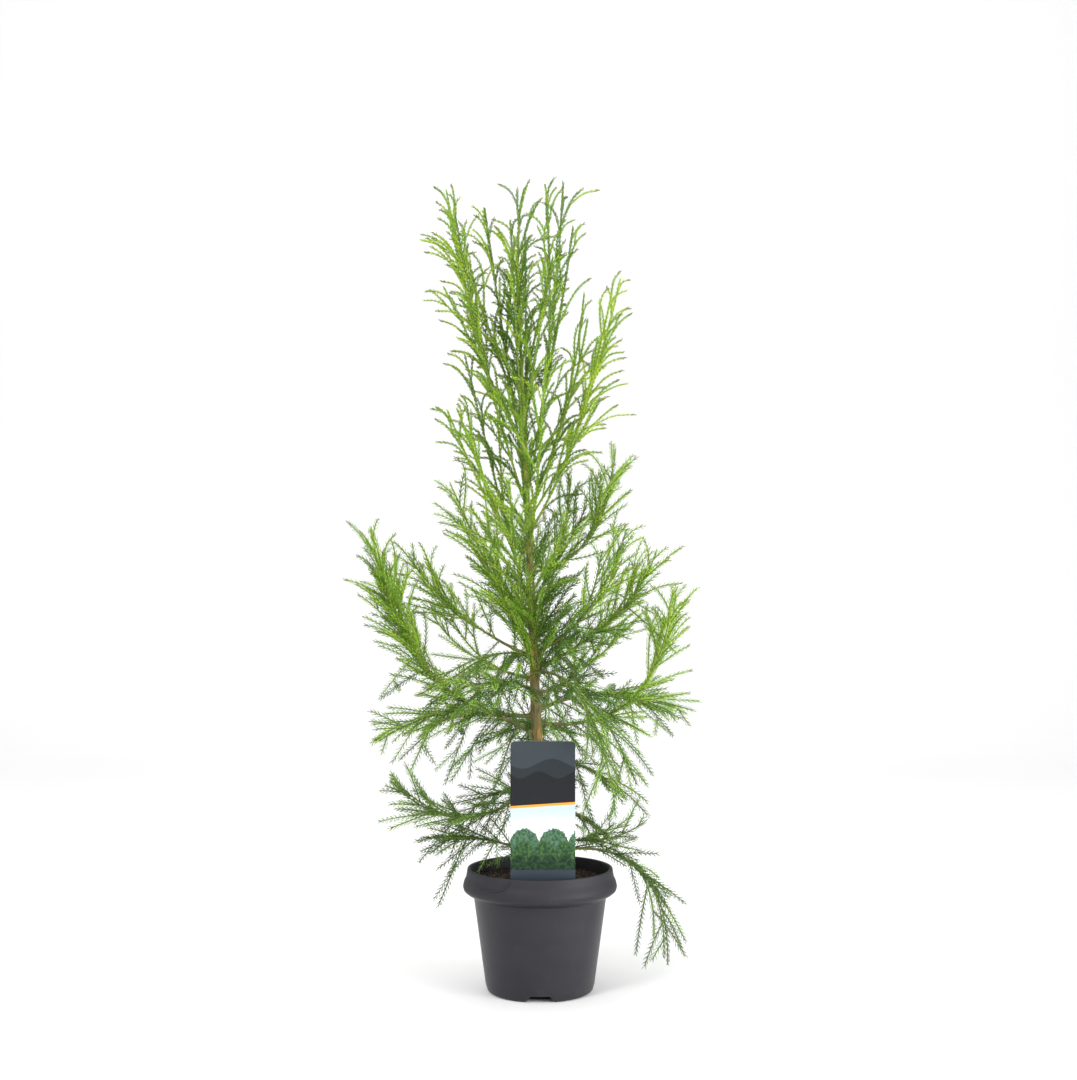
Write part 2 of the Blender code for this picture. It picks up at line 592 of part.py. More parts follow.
def fuse(name, sprays):
    """Joins a mass: one Boolean union of its stem with the collection of its shoots, applied."""
    stem = sprays[0]
    SPRAYS.objects.unlink(stem)
    PARTS.objects.link(stem)
    if len(sprays) > 1:
        union = stem.modifiers.new("join", "BOOLEAN")
        union.operation = "UNION"
        union.operand_type = "COLLECTION"
        union.collection = SPRAYS
    depsgraph = bpy.context.evaluated_depsgraph_get()
    mesh = bpy.data.meshes.new_from_object(stem.evaluated_get(depsgraph))
    joined = bpy.data.objects.new(name, mesh)
    for used in sprays:
        bpy.data.objects.remove(used, do_unlink=True)
    largest_shell(mesh)
    PARTS.objects.link(joined)
    return joined


def mass_stem(limb, path):
    """The stretch of a limb that carries needles, 0.35 mm clear of the bough's end."""
    if not limb.wood:
        return path
    total = lengths_along(path)[-1]
    return part_of_path(path, limb.wood + GAP / total, 1.0, STEM_POINTS)


def grow():
    """Every mass's shoots. Stems take their room first, then forks, then side shoots, so none crowds the rest out."""
    room = Room()
    heights = np.arange(TRUNK_FOOT, TRUNK_TOP, SAMPLE)
    room.take(TRUNK, np.array([trunk_axis(height) for height in heights]),
              np.array([trunk_radius(height) for height in heights]))
    shoots = {}
    for owner, limb in enumerate(LIMBS):
        path = limb_path(limb, LIMB_POINTS)
        if limb.wood:
            wood = part_of_path(path, 0.0, limb.wood, BOUGH_POINTS)
            room.take(owner, wood, np.full(len(wood), bough_radius(limb, 0.0)))
        stem = mass_stem(limb, path)
        points = read_path(stem, np.arange(0.0, lengths_along(stem)[-1], SAMPLE))
        free = room.free(ANYONE, points[STEM_START:], KINDS[limb.kind].needle, 0) + STEM_START
        if free < len(points):
            print("crowded stem:", limb.name, len(points) - free, "of", len(points))
        room.take(owner, points, np.full(len(points), KINDS[limb.kind].needle))
        shoots[limb.name] = [stem]
    for owner, limb in enumerate(LIMBS):
        kind = KINDS[limb.kind]
        for fork in limb.forks:
            path = fit(room, owner, fork_path(kind, shoots[limb.name][0], fork), kind.needle, FORK_START)
            if path is not None:
                shoots[limb.name].append(path)
    for owner, limb in enumerate(LIMBS):
        kind, out = KINDS[limb.kind], direction(limb.azimuth)
        for number, carrier in enumerate(list(shoots[limb.name])):
            taken = [fork_node(kind, carrier, fork) for fork in limb.forks] if number == 0 else ()
            for path in side_shoots(kind, carrier, out, 100 * owner + number, taken):
                path = fit(room, owner, path, kind.needle)
                if path is not None:
                    shoots[limb.name].append(path)
    leader = leader_path(LEADER_POINTS)
    shoots["leader"] = [leader]
    for path in side_shoots(KINDS["plume"], leader, direction(LEADER_SIDE), LEADER_SEED):
        path = fit(room, len(LIMBS), path, KINDS["plume"].needle)
        if path is not None:
            shoots["leader"].append(path)
    return shoots


def make_mass(name, kind, paths, foot_radius):
    sprays = [spray(f"{name}_0", paths[0], kind, foot_radius, 0.0, STEM_GIRTH)]
    for number, path in enumerate(paths[1:], 1):
        sprays.append(spray(f"{name}_{number}", path, kind, FINE_FOOT, number * PHASE))
    mass = fuse("foliage_" + name, sprays)
    give_material(mass, *(NEEDLES_LIGHT if kind in (KINDS["plume"], KINDS["brush"]) else NEEDLES_DEEP))
    print(mass.name, len(paths), "shoots", len(mass.data.polygons), "triangles")


SPRAYS = bpy.data.collections.new("sprays")
bpy.context.scene.collection.children.link(SPRAYS)

make_pot()
make_soil()
make_label()
make_trunk()
SHOOTS = grow()
for each in LIMBS:
    if each.wood:
        make_bough(each, limb_path(each, LIMB_POINTS))
    make_mass(each.name, KINDS[each.kind], SHOOTS[each.name], bough_radius(each, 1.0 if each.wood else 0.3))
make_mass("leader", KINDS["plume"], SHOOTS["leader"], TRUNK_TIP_RADIUS)
bpy.data.collections.remove(SPRAYS)
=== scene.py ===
"""The looks of a young Japanese cedar in a round nursery pot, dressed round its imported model.

Metres, +Z up, origin at the centre of the pot's underside, seen from -Y. The limbs grow by the rule and the
seeds of the solids. Finer shoots then grow on them and on bare wood, and every shoot is set with needles.
"""

import math
import random
from collections import namedtuple

import bpy
import numpy as np
from mathutils import Matrix, Vector


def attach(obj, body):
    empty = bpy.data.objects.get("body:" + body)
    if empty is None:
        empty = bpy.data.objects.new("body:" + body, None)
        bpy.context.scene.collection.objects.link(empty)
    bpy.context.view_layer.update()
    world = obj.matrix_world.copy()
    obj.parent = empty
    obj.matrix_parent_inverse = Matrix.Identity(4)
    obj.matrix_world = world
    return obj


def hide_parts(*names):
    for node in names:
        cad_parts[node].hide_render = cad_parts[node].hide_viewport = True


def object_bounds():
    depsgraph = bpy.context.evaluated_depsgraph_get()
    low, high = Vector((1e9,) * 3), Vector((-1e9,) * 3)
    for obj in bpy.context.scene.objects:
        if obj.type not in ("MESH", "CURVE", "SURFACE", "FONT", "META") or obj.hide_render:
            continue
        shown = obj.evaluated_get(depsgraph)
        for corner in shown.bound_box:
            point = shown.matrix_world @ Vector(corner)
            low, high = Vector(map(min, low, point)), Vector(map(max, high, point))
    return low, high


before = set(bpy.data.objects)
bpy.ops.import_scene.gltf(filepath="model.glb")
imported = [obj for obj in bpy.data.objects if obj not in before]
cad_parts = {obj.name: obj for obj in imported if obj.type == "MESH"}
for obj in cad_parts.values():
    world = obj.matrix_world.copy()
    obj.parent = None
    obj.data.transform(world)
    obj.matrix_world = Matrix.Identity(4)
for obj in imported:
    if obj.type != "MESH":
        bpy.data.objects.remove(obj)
CAD_BOX = [list(corner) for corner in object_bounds()]

CM = 0.01
UP = np.array([0.0, 0.0, 1.0])
GAP = 0.00035           # between solids that touch on the real plant

# Pot, radii and heights.
POT_HEIGHT = 0.161
RIM_RADIUS = 0.094
MOUTH_RADIUS = 0.0915
COLLAR_RADIUS = 0.1013
COLLAR_HEIGHT = 0.137
NECK_RADIUS = 0.0872
NECK_HEIGHT = 0.124
MOUTH_FOOT = NECK_HEIGHT + 0.010    # above it the pot's inside is upright
BASE_RADIUS = 0.0717
FOOT_RADIUS = 0.066
FOOT_WIDTH = 0.0025
WALL = 0.0019
FLOOR_THICKNESS = 0.0025
CHANNEL_RADIUS = 0.049  # the channel's inner edge on the ground
CHANNEL_SLOPE = 0.004
CHANNEL_HEIGHT = 0.008
RING_HEIGHT = CHANNEL_HEIGHT + FLOOR_THICKNESS      # the floor's raised ring over the channel
RING_START = 0.047      # radii between which the floor rises to its ring
RING_END = 0.051
NOTCHES = 3
NOTCH_HEIGHT = CHANNEL_HEIGHT - 0.0005
NOTCH_FLAT = 0.022      # width of the notch's flat top
NOTCH_LOBE = 0.009      # the notch's edge rises over this length of the foot
NOTCH_SPAN = 0.014      # up to this height the outer wall gives way to the notches
POT_TURNS = 256
POT_SPACING = 0.006     # the profile's points lie no further apart
EDGE = 0.0012           # radius of the pot's rounded edges
BEAD_RADIUS = 0.0011
BEAD_START = -142       # azimuth in degrees at which the collar's bead begins
BEAD_TURN = 29
BEAD_LEVEL = 0.007      # its height over the collar's widest ring
BEAD_RISE = 0.015

# Soil.
SOIL_TOP = 0.148
SOIL_DIP = 0.0035
SOIL_RELIEF = 0.0011
SOIL_RINGS = 60
SOIL_TURNS = 160
# Grains on the soil: how many, their smallest and largest size, their height to their width, and a seed.
CRUMBS = (2600, (0.0007, 0.0022), 0.8, 21)
BARK_CHIPS = (420, (0.0010, 0.0030), 0.45, 22)

# Plant label.
LABEL_WIDTH = 0.082
LABEL_TOP = 0.334
LABEL_BOTTOM = 0.156
LABEL_THICKNESS = 0.0008
LABEL_CORNER = 0.006
LABEL_X = 0.0035
LABEL_Y = -0.0765
TONGUE_WIDTH = 0.022
TONGUE_DEPTH = 0.052

# Trunk.
TRUNK_FOOT = SOIL_TOP + GAP
TRUNK_TOP = 0.915
TRUNK_FOOT_RADIUS = 0.0102
TRUNK_TIP_RADIUS = 0.0014
TRUNK_TAPER = 1.45
TRUNK_LEAN = -0.029
TRUNK_LEAN_BEND = 1.3
FLARE = 0.0017
FLARE_HEIGHT = 0.012
TRUNK_SIDES = 72
TRUNK_SEED = 11         # of its relief
TRUNK_RINGS = 460       # above the foot, which has its own
FOOT_RINGS = 24
TRUNK_MARGIN = 0.001    # shoots keep this far from the trunk
KNOT_HEIGHT = 0.0011    # the trunk's swelling at a limb's root
KNOT_WIDTH = 0.0055

# Bark: the typical wavelengths of its strips and swellings, round about in radii and along in metres, and
# their depths as shares of the radius. A bark's colours are brown, grey and orange, and it turns green
# between two heights.
STRIPS = (0.35, 0.35, 0.030)
STRIP_DEPTH = 0.050
SWELLS = (1.6, 1.6, 0.025)
SWELL_DEPTH = 0.035
TRUNK_BARK = ((0.21, 0.160, 0.050), (0.16, 0.140, 0.055), (0.42, 0.225, 0.045), 0.53, 0.62)
BOUGH_BARK = ((0.15, 0.150, 0.040), (0.12, 0.13, 0.036), (0.21, 0.17, 0.04), 0.50, 0.60)

# Limbs.
STUB = 0.003
BOUGH_ROOT_RADIUS = 0.0009
BOUGH_RADIUS_PER_REACH = 0.0095
BOUGH_TAPER = 0.62      # share of its radius that it loses towards its end
BOUGH_INSIDE = 0.002    # a bough begins this far inside the trunk
BOUGH_BEYOND = 0.22     # share of the limb that it goes on past the foot of its mass
SHORTEST_BOUGH = 0.16   # as a share of the limb
SHORT_REACH = 12.0      # centimetres; a limb that reaches no further has a bough of the share below
SHORT_LIMB_BOUGH = 0.18
BOUGH_SWELLING = 0.45   # at its root, as a share of its radius, and the length over which that fades
SWELLING_LENGTH = 0.004
BOUGH_SIDES = 16
BOUGH_RINGS = 46
BOUGH_LIMB_POINTS = 60
BOUGH_SEED = 40         # of the relief of the first limb's bough
POT_CLEARANCE = 0.006
LOWEST_TIP = 0.035
HIGHEST_TIP = 1.056
BOX_MARGIN = 0.004      # fine shoots may pass the solids' box by this
LIMB_POINTS = 40        # points on the paths of limbs, boughs, stems, forks, side shoots and the leader
BOUGH_POINTS = 24
STEM_POINTS = 30
FORK_POINTS = 14
SHOOT_POINTS = 12
LEADER_POINTS = 20
CARRIER_POINTS = 24     # on carriers of fine shoots, on fine shoots, on sprigs and on shoots from wood
FINE_POINTS = 8
SPRIG_POINTS = 6
WOOD_SHOOT_POINTS = 10
TRUNK = -1              # the trunk's owner number in the room; limbs have their place in LIMBS

# A kind of foliage, as in the solids: radius and length of a shoot's needle whorls, length of the side shoots
# at a stem's foot and tip, their angle, how far they leave the limb's own level, curl and nod.
Kind = namedtuple("Kind", "needle whorl foot_length tip_length angle spread curl nod")
KINDS = {
    "plume": Kind(0.0034, 0.052, 0.092, 0.046, 17, 1.0, 0.06, 0.18),
    "brush": Kind(0.0044, 0.039, 0.085, 0.045, 35, 0.8, 0.20, 0.12),
    "fan": Kind(0.0048, 0.035, 0.080, 0.040, 44, 0.35, 0.02, 0.03),
    "droop": Kind(0.0046, 0.036, 0.085, 0.045, 40, 0.45, -0.30, 0.00),
}
GOLDEN_ANGLE = math.radians(137.5)
SHORTEST_SHOOT = 0.022
CLEARANCE = 0.0012
SAMPLE = 0.004          # distance between the points of a shoot that are tested for room
FOOT_SAMPLES = 3        # points at a shoot's foot that aren't tested
SHOOT_START = 3         # further points that may lie near their own limb, on a side shoot and on a fork
FORK_START = 9
OWN_SHARE = 0.60        # shoots of one limb keep only this share of the distance

# A limb: height of its root on the trunk, azimuth in degrees from +X towards +Y, reach, height of its tip,
# its elbow at a share of the reach and at a height (all centimetres), the share of its length that is a bare
# bough, its kind of foliage, and its forks: from a share of the stem, turned by some degrees and scaled.
Limb = namedtuple("Limb", "name root azimuth reach tip elbow elbow_height wood kind forks")
LIMBS = [Limb(*row) for row in (
    ("low_right", 18.2, -2, 16.8, 3.7, 1.02, 21.0, 0.2, "droop", ((0.34, -11, 0.9), (0.22, 14, 0.8))),
    ("low_right_fan", 20.4, 10, 14.2, 21.6, 0.6, 17.8, 0.0, "fan", ((0.2, 24, 0.7), (0.3, -24, 0.8))),
    ("low_left", 18.0, 172, 15.6, 19.6, 0.5, 20.5, 0.19, "fan", ((0.25, 20, 0.7), (0.2, -24, 0.75))),
    ("left_fan", 26.5, 188, 19.2, 27.6, 0.55, 18.5, 0.2, "fan", ((0.1, -16, 1.02), (0.22, 22, 0.75))),
    ("right_fan", 29.5, 14, 12.2, 24.6, 0.55, 31.0, 0.14, "droop", ((0.2, 30, 0.9), (0.3, -26, 0.8))),
    ("low_back_right", 21.0, 62, 16.0, 17.5, 0.6, 25.0, 0.0, "droop", ((0.25, 26, 0.8), (0.35, -26, 0.75))),
    ("low_back_left", 24.0, 118, 17.0, 20.5, 0.6, 28.0, 0.0, "fan", ((0.25, 24, 0.8), (0.35, -26, 0.75))),
    ("left_main", 36.0, 184, 21.6, 60.6, 0.8, 35.5, 0.15, "brush", ((0.16, 16, 0.78), (0.3, -16, 0.8))),
    ("left_skirt", 34.0, 203, 21.5, 33.5, 0.5, 40.0, 0.15, "fan", ((0.12, -24, 1.0), (0.25, 20, 0.75))),
    ("left_upper", 44.0, 163, 17.6, 57.3, 0.72, 49.0, 0.18, "brush", ((0.2, 24, 0.75), (0.35, -26, 0.7))),
    ("left_inner", 43.8, 222, 15.5, 40.0, 0.5, 46.0, 0.11, "fan", ((0.22, -24, 0.95), (0.35, 30, 0.7))),
    ("right_main", 35.0, -4, 18.3, 52.0, 0.88, 33.5, 0.17, "brush", ((0.12, -18, 1.02), (0.3, 18, 0.8))),
    ("right_skirt", 37.0, 18, 21.5, 35.8, 0.5, 41.0, 0.15, "fan", ((0.15, -26, 0.8), (0.22, 24, 0.85))),
    ("right_upper", 42.6, 4, 16.2, 57.6, 0.8, 48.0, 0.18, "brush", ((0.2, 22, 0.85), (0.35, -20, 0.75))),
    ("right_mid", 44.5, -26, 13.2, 60.0, 0.7, 48.5, 0.15, "brush", ((0.2, 24, 0.75), (0.3, -22, 0.8))),
    ("front_right", 41.8, -50, 15.2, 27.6, 0.72, 42.5, 0.15, "droop", ((0.14, 20, 1.0), (0.35, -22, 0.65))),
    ("front_left", 39.6, 238, 16.5, 39.5, 0.6, 42.0, 0.15, "fan", ((0.18, -22, 0.95), (0.3, 24, 0.7))),
    ("front_riser", 47.5, 252, 9.5, 66.0, 0.6, 50.0, 0.0, "brush", ((0.15, 34, 0.8), (0.35, -30, 0.8))),
    ("back_right", 39.0, 56, 19.5, 49.5, 0.7, 39.5, 0.18, "brush", ((0.18, 22, 0.85), (0.3, -24, 0.8))),
    ("back_left", 41.0, 132, 19.0, 51.0, 0.7, 41.5, 0.18, "brush", ((0.18, 22, 0.85), (0.3, -24, 0.8))),
    ("back_mid", 45.5, 93, 16.5, 59.5, 0.75, 46.0, 0.18, "brush", ((0.18, 26, 0.85), (0.3, -26, 0.8))),
    ("back_skirt", 32.5, 94, 19.5, 30.5, 0.55, 37.5, 0.15, "fan", ((0.16, 24, 0.9), (0.25, -24, 0.85))),
    ("left_riser", 45.0, 192, 11.0, 66.2, 0.42, 52.0, 0.0, "brush", ((0.16, 20, 0.84), (0.3, -26, 0.8))),
    ("right_limb", 55.0, -14, 11.3, 70.4, 0.88, 56.5, 0.15, "brush", ((0.1, 24, 0.86), (0.32, -20, 0.8))),
    ("inner_riser", 50.0, 40, 6.8, 67.5, 0.75, 54.5, 0.0, "brush", ((0.2, 40, 0.85), (0.35, -30, 0.75))),
    ("left_tall", 52.0, 158, 9.6, 83.8, 0.42, 62.0, 0.0, "plume", ((0.2, 20, 0.74), (0.34, -24, 0.78))),
    ("crown_left", 57.5, 196, 11.0, 75.6, 0.5, 62.0, 0.0, "plume", ((0.16, 20, 0.8), (0.32, -22, 0.8))),
    ("crown_front", 58.5, -74, 7.6, 82.0, 0.55, 66.0, 0.0, "plume", ((0.16, 28, 0.8), (0.3, -32, 0.8))),
    ("crown_back", 56.5, 100, 9.5, 81.0, 0.55, 64.5, 0.0, "plume", ((0.16, 28, 0.8), (0.36, -28, 0.8))),
    ("right_vase", 61.0, -3, 12.0, 93.2, 0.6, 72.0, 0.0, "plume", ((0.12, 16, 0.74), (0.24, -18, 0.9))),
    ("vase_inner", 64.0, 16, 7.8, 91.8, 0.8, 76.0, 0.0, "plume", ((0.3, -16, 0.8),)),
    ("top_left_outer", 65.0, 183, 10.6, 104.8, 0.66, 85.0, 0.0, "plume", ((0.3, 14, 0.86), (0.42, -15, 1.0))),
    ("top_left", 69.5, 150, 6.4, 103.4, 0.55, 86.0, 0.0, "plume", ((0.22, 24, 0.84), (0.4, -22, 0.94))),
    ("top_right", 67.5, -16, 5.0, 105.6, 0.8, 86.0, 0.0, "plume", ((0.22, 16, 0.88), (0.36, -20, 0.92))),
    ("top_front", 68.5, 252, 6.4, 99.5, 0.6, 84.0, 0.0, "plume", ((0.2, 14, 0.84), (0.36, -26, 0.84))),
    ("top_back", 66.5, 92, 7.0, 100.5, 0.6, 82.0, 0.0, "plume", ((0.2, 26, 0.84), (0.36, -12, 0.84))),
)]
LEADER_TIP = 1.052
LEADER_NOD = 0.008
LEADER_SEED = 7
LEADER_SIDE = -50

# The finer growth of each kind. Fine shoots, on stems and forks: spacing, length at a stem's foot and tip,
# angle, spread, curl and nod. Sprigs: spacing on the main side shoots and on the fine ones, and length. A
# spacing longer than the shoots leaves them without sprigs.
Fine = namedtuple("Fine", "spacing foot_length tip_length angle spread curl nod on_main on_fine sprig_length")
FINE = {
    "plume": Fine(0.0200, 0.050, 0.036, 21, 1.0, 0.05, 0.46, 0.028, 0.200, 0.036),
    "brush": Fine(0.0118, 0.058, 0.036, 32, 0.8, 0.20, 0.28, 0.050, 0.400, 0.036),
    "fan": Fine(0.0160, 0.076, 0.046, 38, 0.4, -0.04, 0.03, 0.080, 0.400, 0.044),
    "droop": Fine(0.0280, 0.070, 0.046, 32, 0.5, -0.20, 0.00, 0.200, 0.400, 0.044),
}
FINE_SPAN = (0.04, 0.97)    # the stretches of a carrier on which fine shoots and sprigs stand
SPRIG_SPAN = (0.15, 0.85)

# The wood that fine growth stands on as well: heights on the trunk, and for the column shares of the left
# main limb. Lower limbs are those with a bough whose root lies below the height in centimetres.
LOWER_LIMBS_BELOW = 46
NODE_SPAN = (0.405, 0.505)
FLANK_SPAN = (0.40, 0.60)
CROWN_SPAN = (0.60, TRUNK_TOP)
COLUMN_SPAN = (0.40, 0.84)

# Growth on wood: which wood, the kind of foliage and how it differs from that kind's fine shoots, spacing,
# lengths at the wood's foot and far end, spacing and length of the sprigs, the stretch that bears it, how far
# the headings are turned down, and a seed.
WoodGrowth = namedtuple(
    "WoodGrowth", "wood kind changes spacing lengths on_shoots sprig_length span drop seed")
HANGING = {"angle": 50, "spread": 0.6, "curl": -0.10}
RISING = {"angle": 48, "spread": 1.0, "curl": 0.25, "nod": 0.20}
CLOTHING = {"angle": 52, "spread": 0.7}
BURSTING = {"angle": 58, "spread": 1.0, "curl": 0.15, "nod": 0.10}
UPRIGHT = {"angle": 30, "curl": 0.15}
ASCENDING = {"angle": 15, "curl": 0.06, "nod": 0.25}
ALL_ALONG = (0.0, 1.0)
WOOD_GROWTHS = [WoodGrowth(*row) for row in (
    ("lower limbs", "fan", HANGING, 0.021, (0.105, 0.084), 0.070, 0.044, (0.04, 0.66), 0.75, 5000),
    ("flank", "brush", RISING, 0.0065, (0.095, 0.076), 0.035, 0.034, ALL_ALONG, 0.0, 6000),
    ("lower limbs", "fan", CLOTHING, 0.007, (0.058, 0.046), 0.080, 0.030, (0.01, 0.36), 0.1, 5500),
    ("node", "brush", BURSTING, 0.0016, (0.070, 0.070), 0.080, 0.030, ALL_ALONG, 0.0, 6500),
    ("column", "brush", UPRIGHT, 0.0034, (0.050, 0.0375), 0.035, 0.030, ALL_ALONG, -0.6, 8000),
    ("crown", "plume", ASCENDING, 0.0064, (0.085, 0.051), 0.030, 0.032, ALL_ALONG, 0.0, 7000),
)]

# How a group of shoots is dressed: radius of the twigs at foot and tip, sides of their tubes, scale of the
# needles, lightness, and the share of the shoots whose tip has weathered.
Outfit = namedtuple("Outfit", "foot_radius tip_radius sides scale lightness weathered")
STEM = Outfit(0.0015, 0.0008, 6, 1.0, 0.10, 0.0)
SIDE_SHOOT = Outfit(0.0010, 0.0006, 5, 1.0, 0.20, 0.9)
FINE_SHOOT = Outfit(0.0009, 0.0005, 4, 0.95, 0.25, 0.8)
SPRIG = Outfit(0.0007, 0.0004, 3, 0.85, 0.30, 0.5)
WOOD_SHOOT = Outfit(0.0009, 0.0005, 4, 1.0, 0.05, 0.3)
WOOD_SPRIG = Outfit(0.0007, 0.0004, 3, 0.9, 0.10, 0.2)

# Where the crown is open: from left to right and from low to high.
GAPS = ((0.036, 0.074, 0.86, 1.00), (-0.150, -0.045, 0.430, 0.485), (0.140, 0.250, 0.200, 0.320),
        (0.095, 0.150, 0.405, 0.450), (0.060, 0.080, 0.525, 0.560))

# Needles of each kind: spacing along a shoot, length, the angle at which they leave it, their half width, how
# far they bend back in, how much shorter they get at a shoot's tip, and the share of its length where it is
# widest.
Needle = namedtuple("Needle", "pitch length angle half_width incurve fading widest")
NEEDLES = {
    "plume": Needle(0.00115, 0.0058, 44, 0.00086, 0.38, 0.00, 0.58),
    "brush": Needle(0.00130, 0.0086, 40, 0.00064, 0.20, 0.25, 0.60),
    "fan": Needle(0.00130, 0.0086, 44, 0.00060, 0.12, 0.25, 0.62),
    "droop": Needle(0.00130, 0.0086, 42, 0.00060, 0.12, 0.25, 0.62),
}
NEEDLE_TURN = math.radians(144)     # from each needle to the next: they stand in five rows
# The places of a needle's three corners where it is widest, in half widths sideways and outwards:
NEEDLE_CORNERS = ((1.0, -0.35), (-1.0, -0.35), (0.0, 0.85))
NEEDLE_FACES = np.array([(0, 2, 1), (0, 3, 2), (0, 1, 3), (4, 1, 2), (4, 2, 3), (4, 3, 1)])

# Colours: the needles' light, middle and deep greens and the twigs' dark and light ones, by tier. The three
# greens are dealt out partly by where light falls, so they also serve as painted light and painted shade.
TIER_OF = {"plume": "crown", "brush": "flank", "fan": "skirt", "droop": "skirt"}
SHADES = ("light", "middle", "deep")
GREENS = {
    "crown": ((0.360, 0.560, 0.050), (0.220, 0.430, 0.028), (0.070, 0.190, 0.012)),
    "flank": ((0.330, 0.570, 0.060), (0.195, 0.420, 0.032), (0.068, 0.190, 0.015)),
    "skirt": ((0.290, 0.520, 0.090), (0.168, 0.370, 0.052), (0.055, 0.145, 0.020)),
}
TWIG_COLOURS = {
    "crown": ((0.16, 0.24, 0.03), (0.26, 0.36, 0.05)),
    "flank": ((0.14, 0.20, 0.03), (0.22, 0.28, 0.05)),
    "skirt": ((0.10, 0.15, 0.03), (0.16, 0.20, 0.05)),
}
TIP_COLOUR = (0.200, 0.250, 0.065)
TIP_REACH = 0.007           # the weathered length of a shoot's tip

# A shoot's lightness rises with its reach and within a box of brushes on the left (left, right, low, high),
# falls where it ends low down, and varies by chance. Two limits part the three shades. The rise with reach is
# partly the paler young outer growth and partly painted light, with painted shade inside; the box's rise is
# painted light on the lit left side, and the fall low down is painted shade under the crown.
CROWN_CENTRE = np.array([-0.01, 0.0])
FULL_REACH = 0.16
REACH_GAIN = 0.45
LOW_END = 0.33
LOW_DEPTH = 0.16
# painted shade: how much deeper the shoots that end low down are
LOW_PAINTED_SHADE = 0.35
# painted light: a box on the lit left side whose brushes are lighter, and how much lighter
PAINTED_LIGHT_BOX = (-0.140, -0.005, 0.490, 0.670)
PAINTED_LIGHT_GAIN = 0.22
CHANCE = 0.30
SHADE_LIMITS = (0.62, 0.34)

# Studio. A light: its name, its place, what it is aimed at, its diameter and its power in watts.
PLANT_MIDDLE = (0.0, 0.0, 0.5)
LIGHTS = (
    ("key", (-1.6, -2.2, 2.8), PLANT_MIDDLE, 1.0, 52.0),
    ("fill", (2.2, -2.2, 1.6), PLANT_MIDDLE, 1.4, 22.0),
    ("side", (1.7, -1.0, 0.35), (0.0, 0.0, 0.1), 0.7, 24.0),
    ("backdrop", (0.0, 1.6, 3.4), (0.0, 4.0, 0.6), 2.5, 22.0),
)
SKY_STRENGTH = 0.97
BACKDROP_START = 2.5        # the floor bends up from this distance, over this radius, to this height
BACKDROP_BEND = 1.5
BACKDROP_TOP = 6.0
CAMERA_PLACE = (-0.002, -2.0, 0.521)
CAMERA_LENS = 50.67
CAMERA_SHIFT = 0.0494


class Value:
    """A number that varies over a surface. Python's operators on it add the Math nodes that work them out."""

    def __init__(self, finish, socket):
        self.finish = finish
        self.socket = socket

    def maths(self, operation, *numbers):
        return self.finish.value("ShaderNodeMath", {"operation": operation}, dict(enumerate(numbers)))

    def __add__(self, other):
        return self.maths("ADD", self, other)

    def __sub__(self, other):
        return self.maths("SUBTRACT", self, other)

    def __rsub__(self, other):
        return self.maths("SUBTRACT", other, self)

    def __mul__(self, other):
        return self.maths("MULTIPLY", self, other)

    def __truediv__(self, other):
        return self.maths("DIVIDE", self, other)

    def __pow__(self, other):
        return self.maths("POWER", self, other)

    __radd__ = __add__
    __rmul__ = __mul__

    def wave(self):
        return self.maths("SINE", self)

    def size(self):
        return self.maths("ABSOLUTE", self)

    def step(self, low, high):
        """0 below low, 1 above high, smooth between."""
        settings = {"interpolation_type": "SMOOTHSTEP"}
        sockets = {"Value": self, "From Min": low, "From Max": high}
        return self.finish.value("ShaderNodeMapRange", settings, sockets)


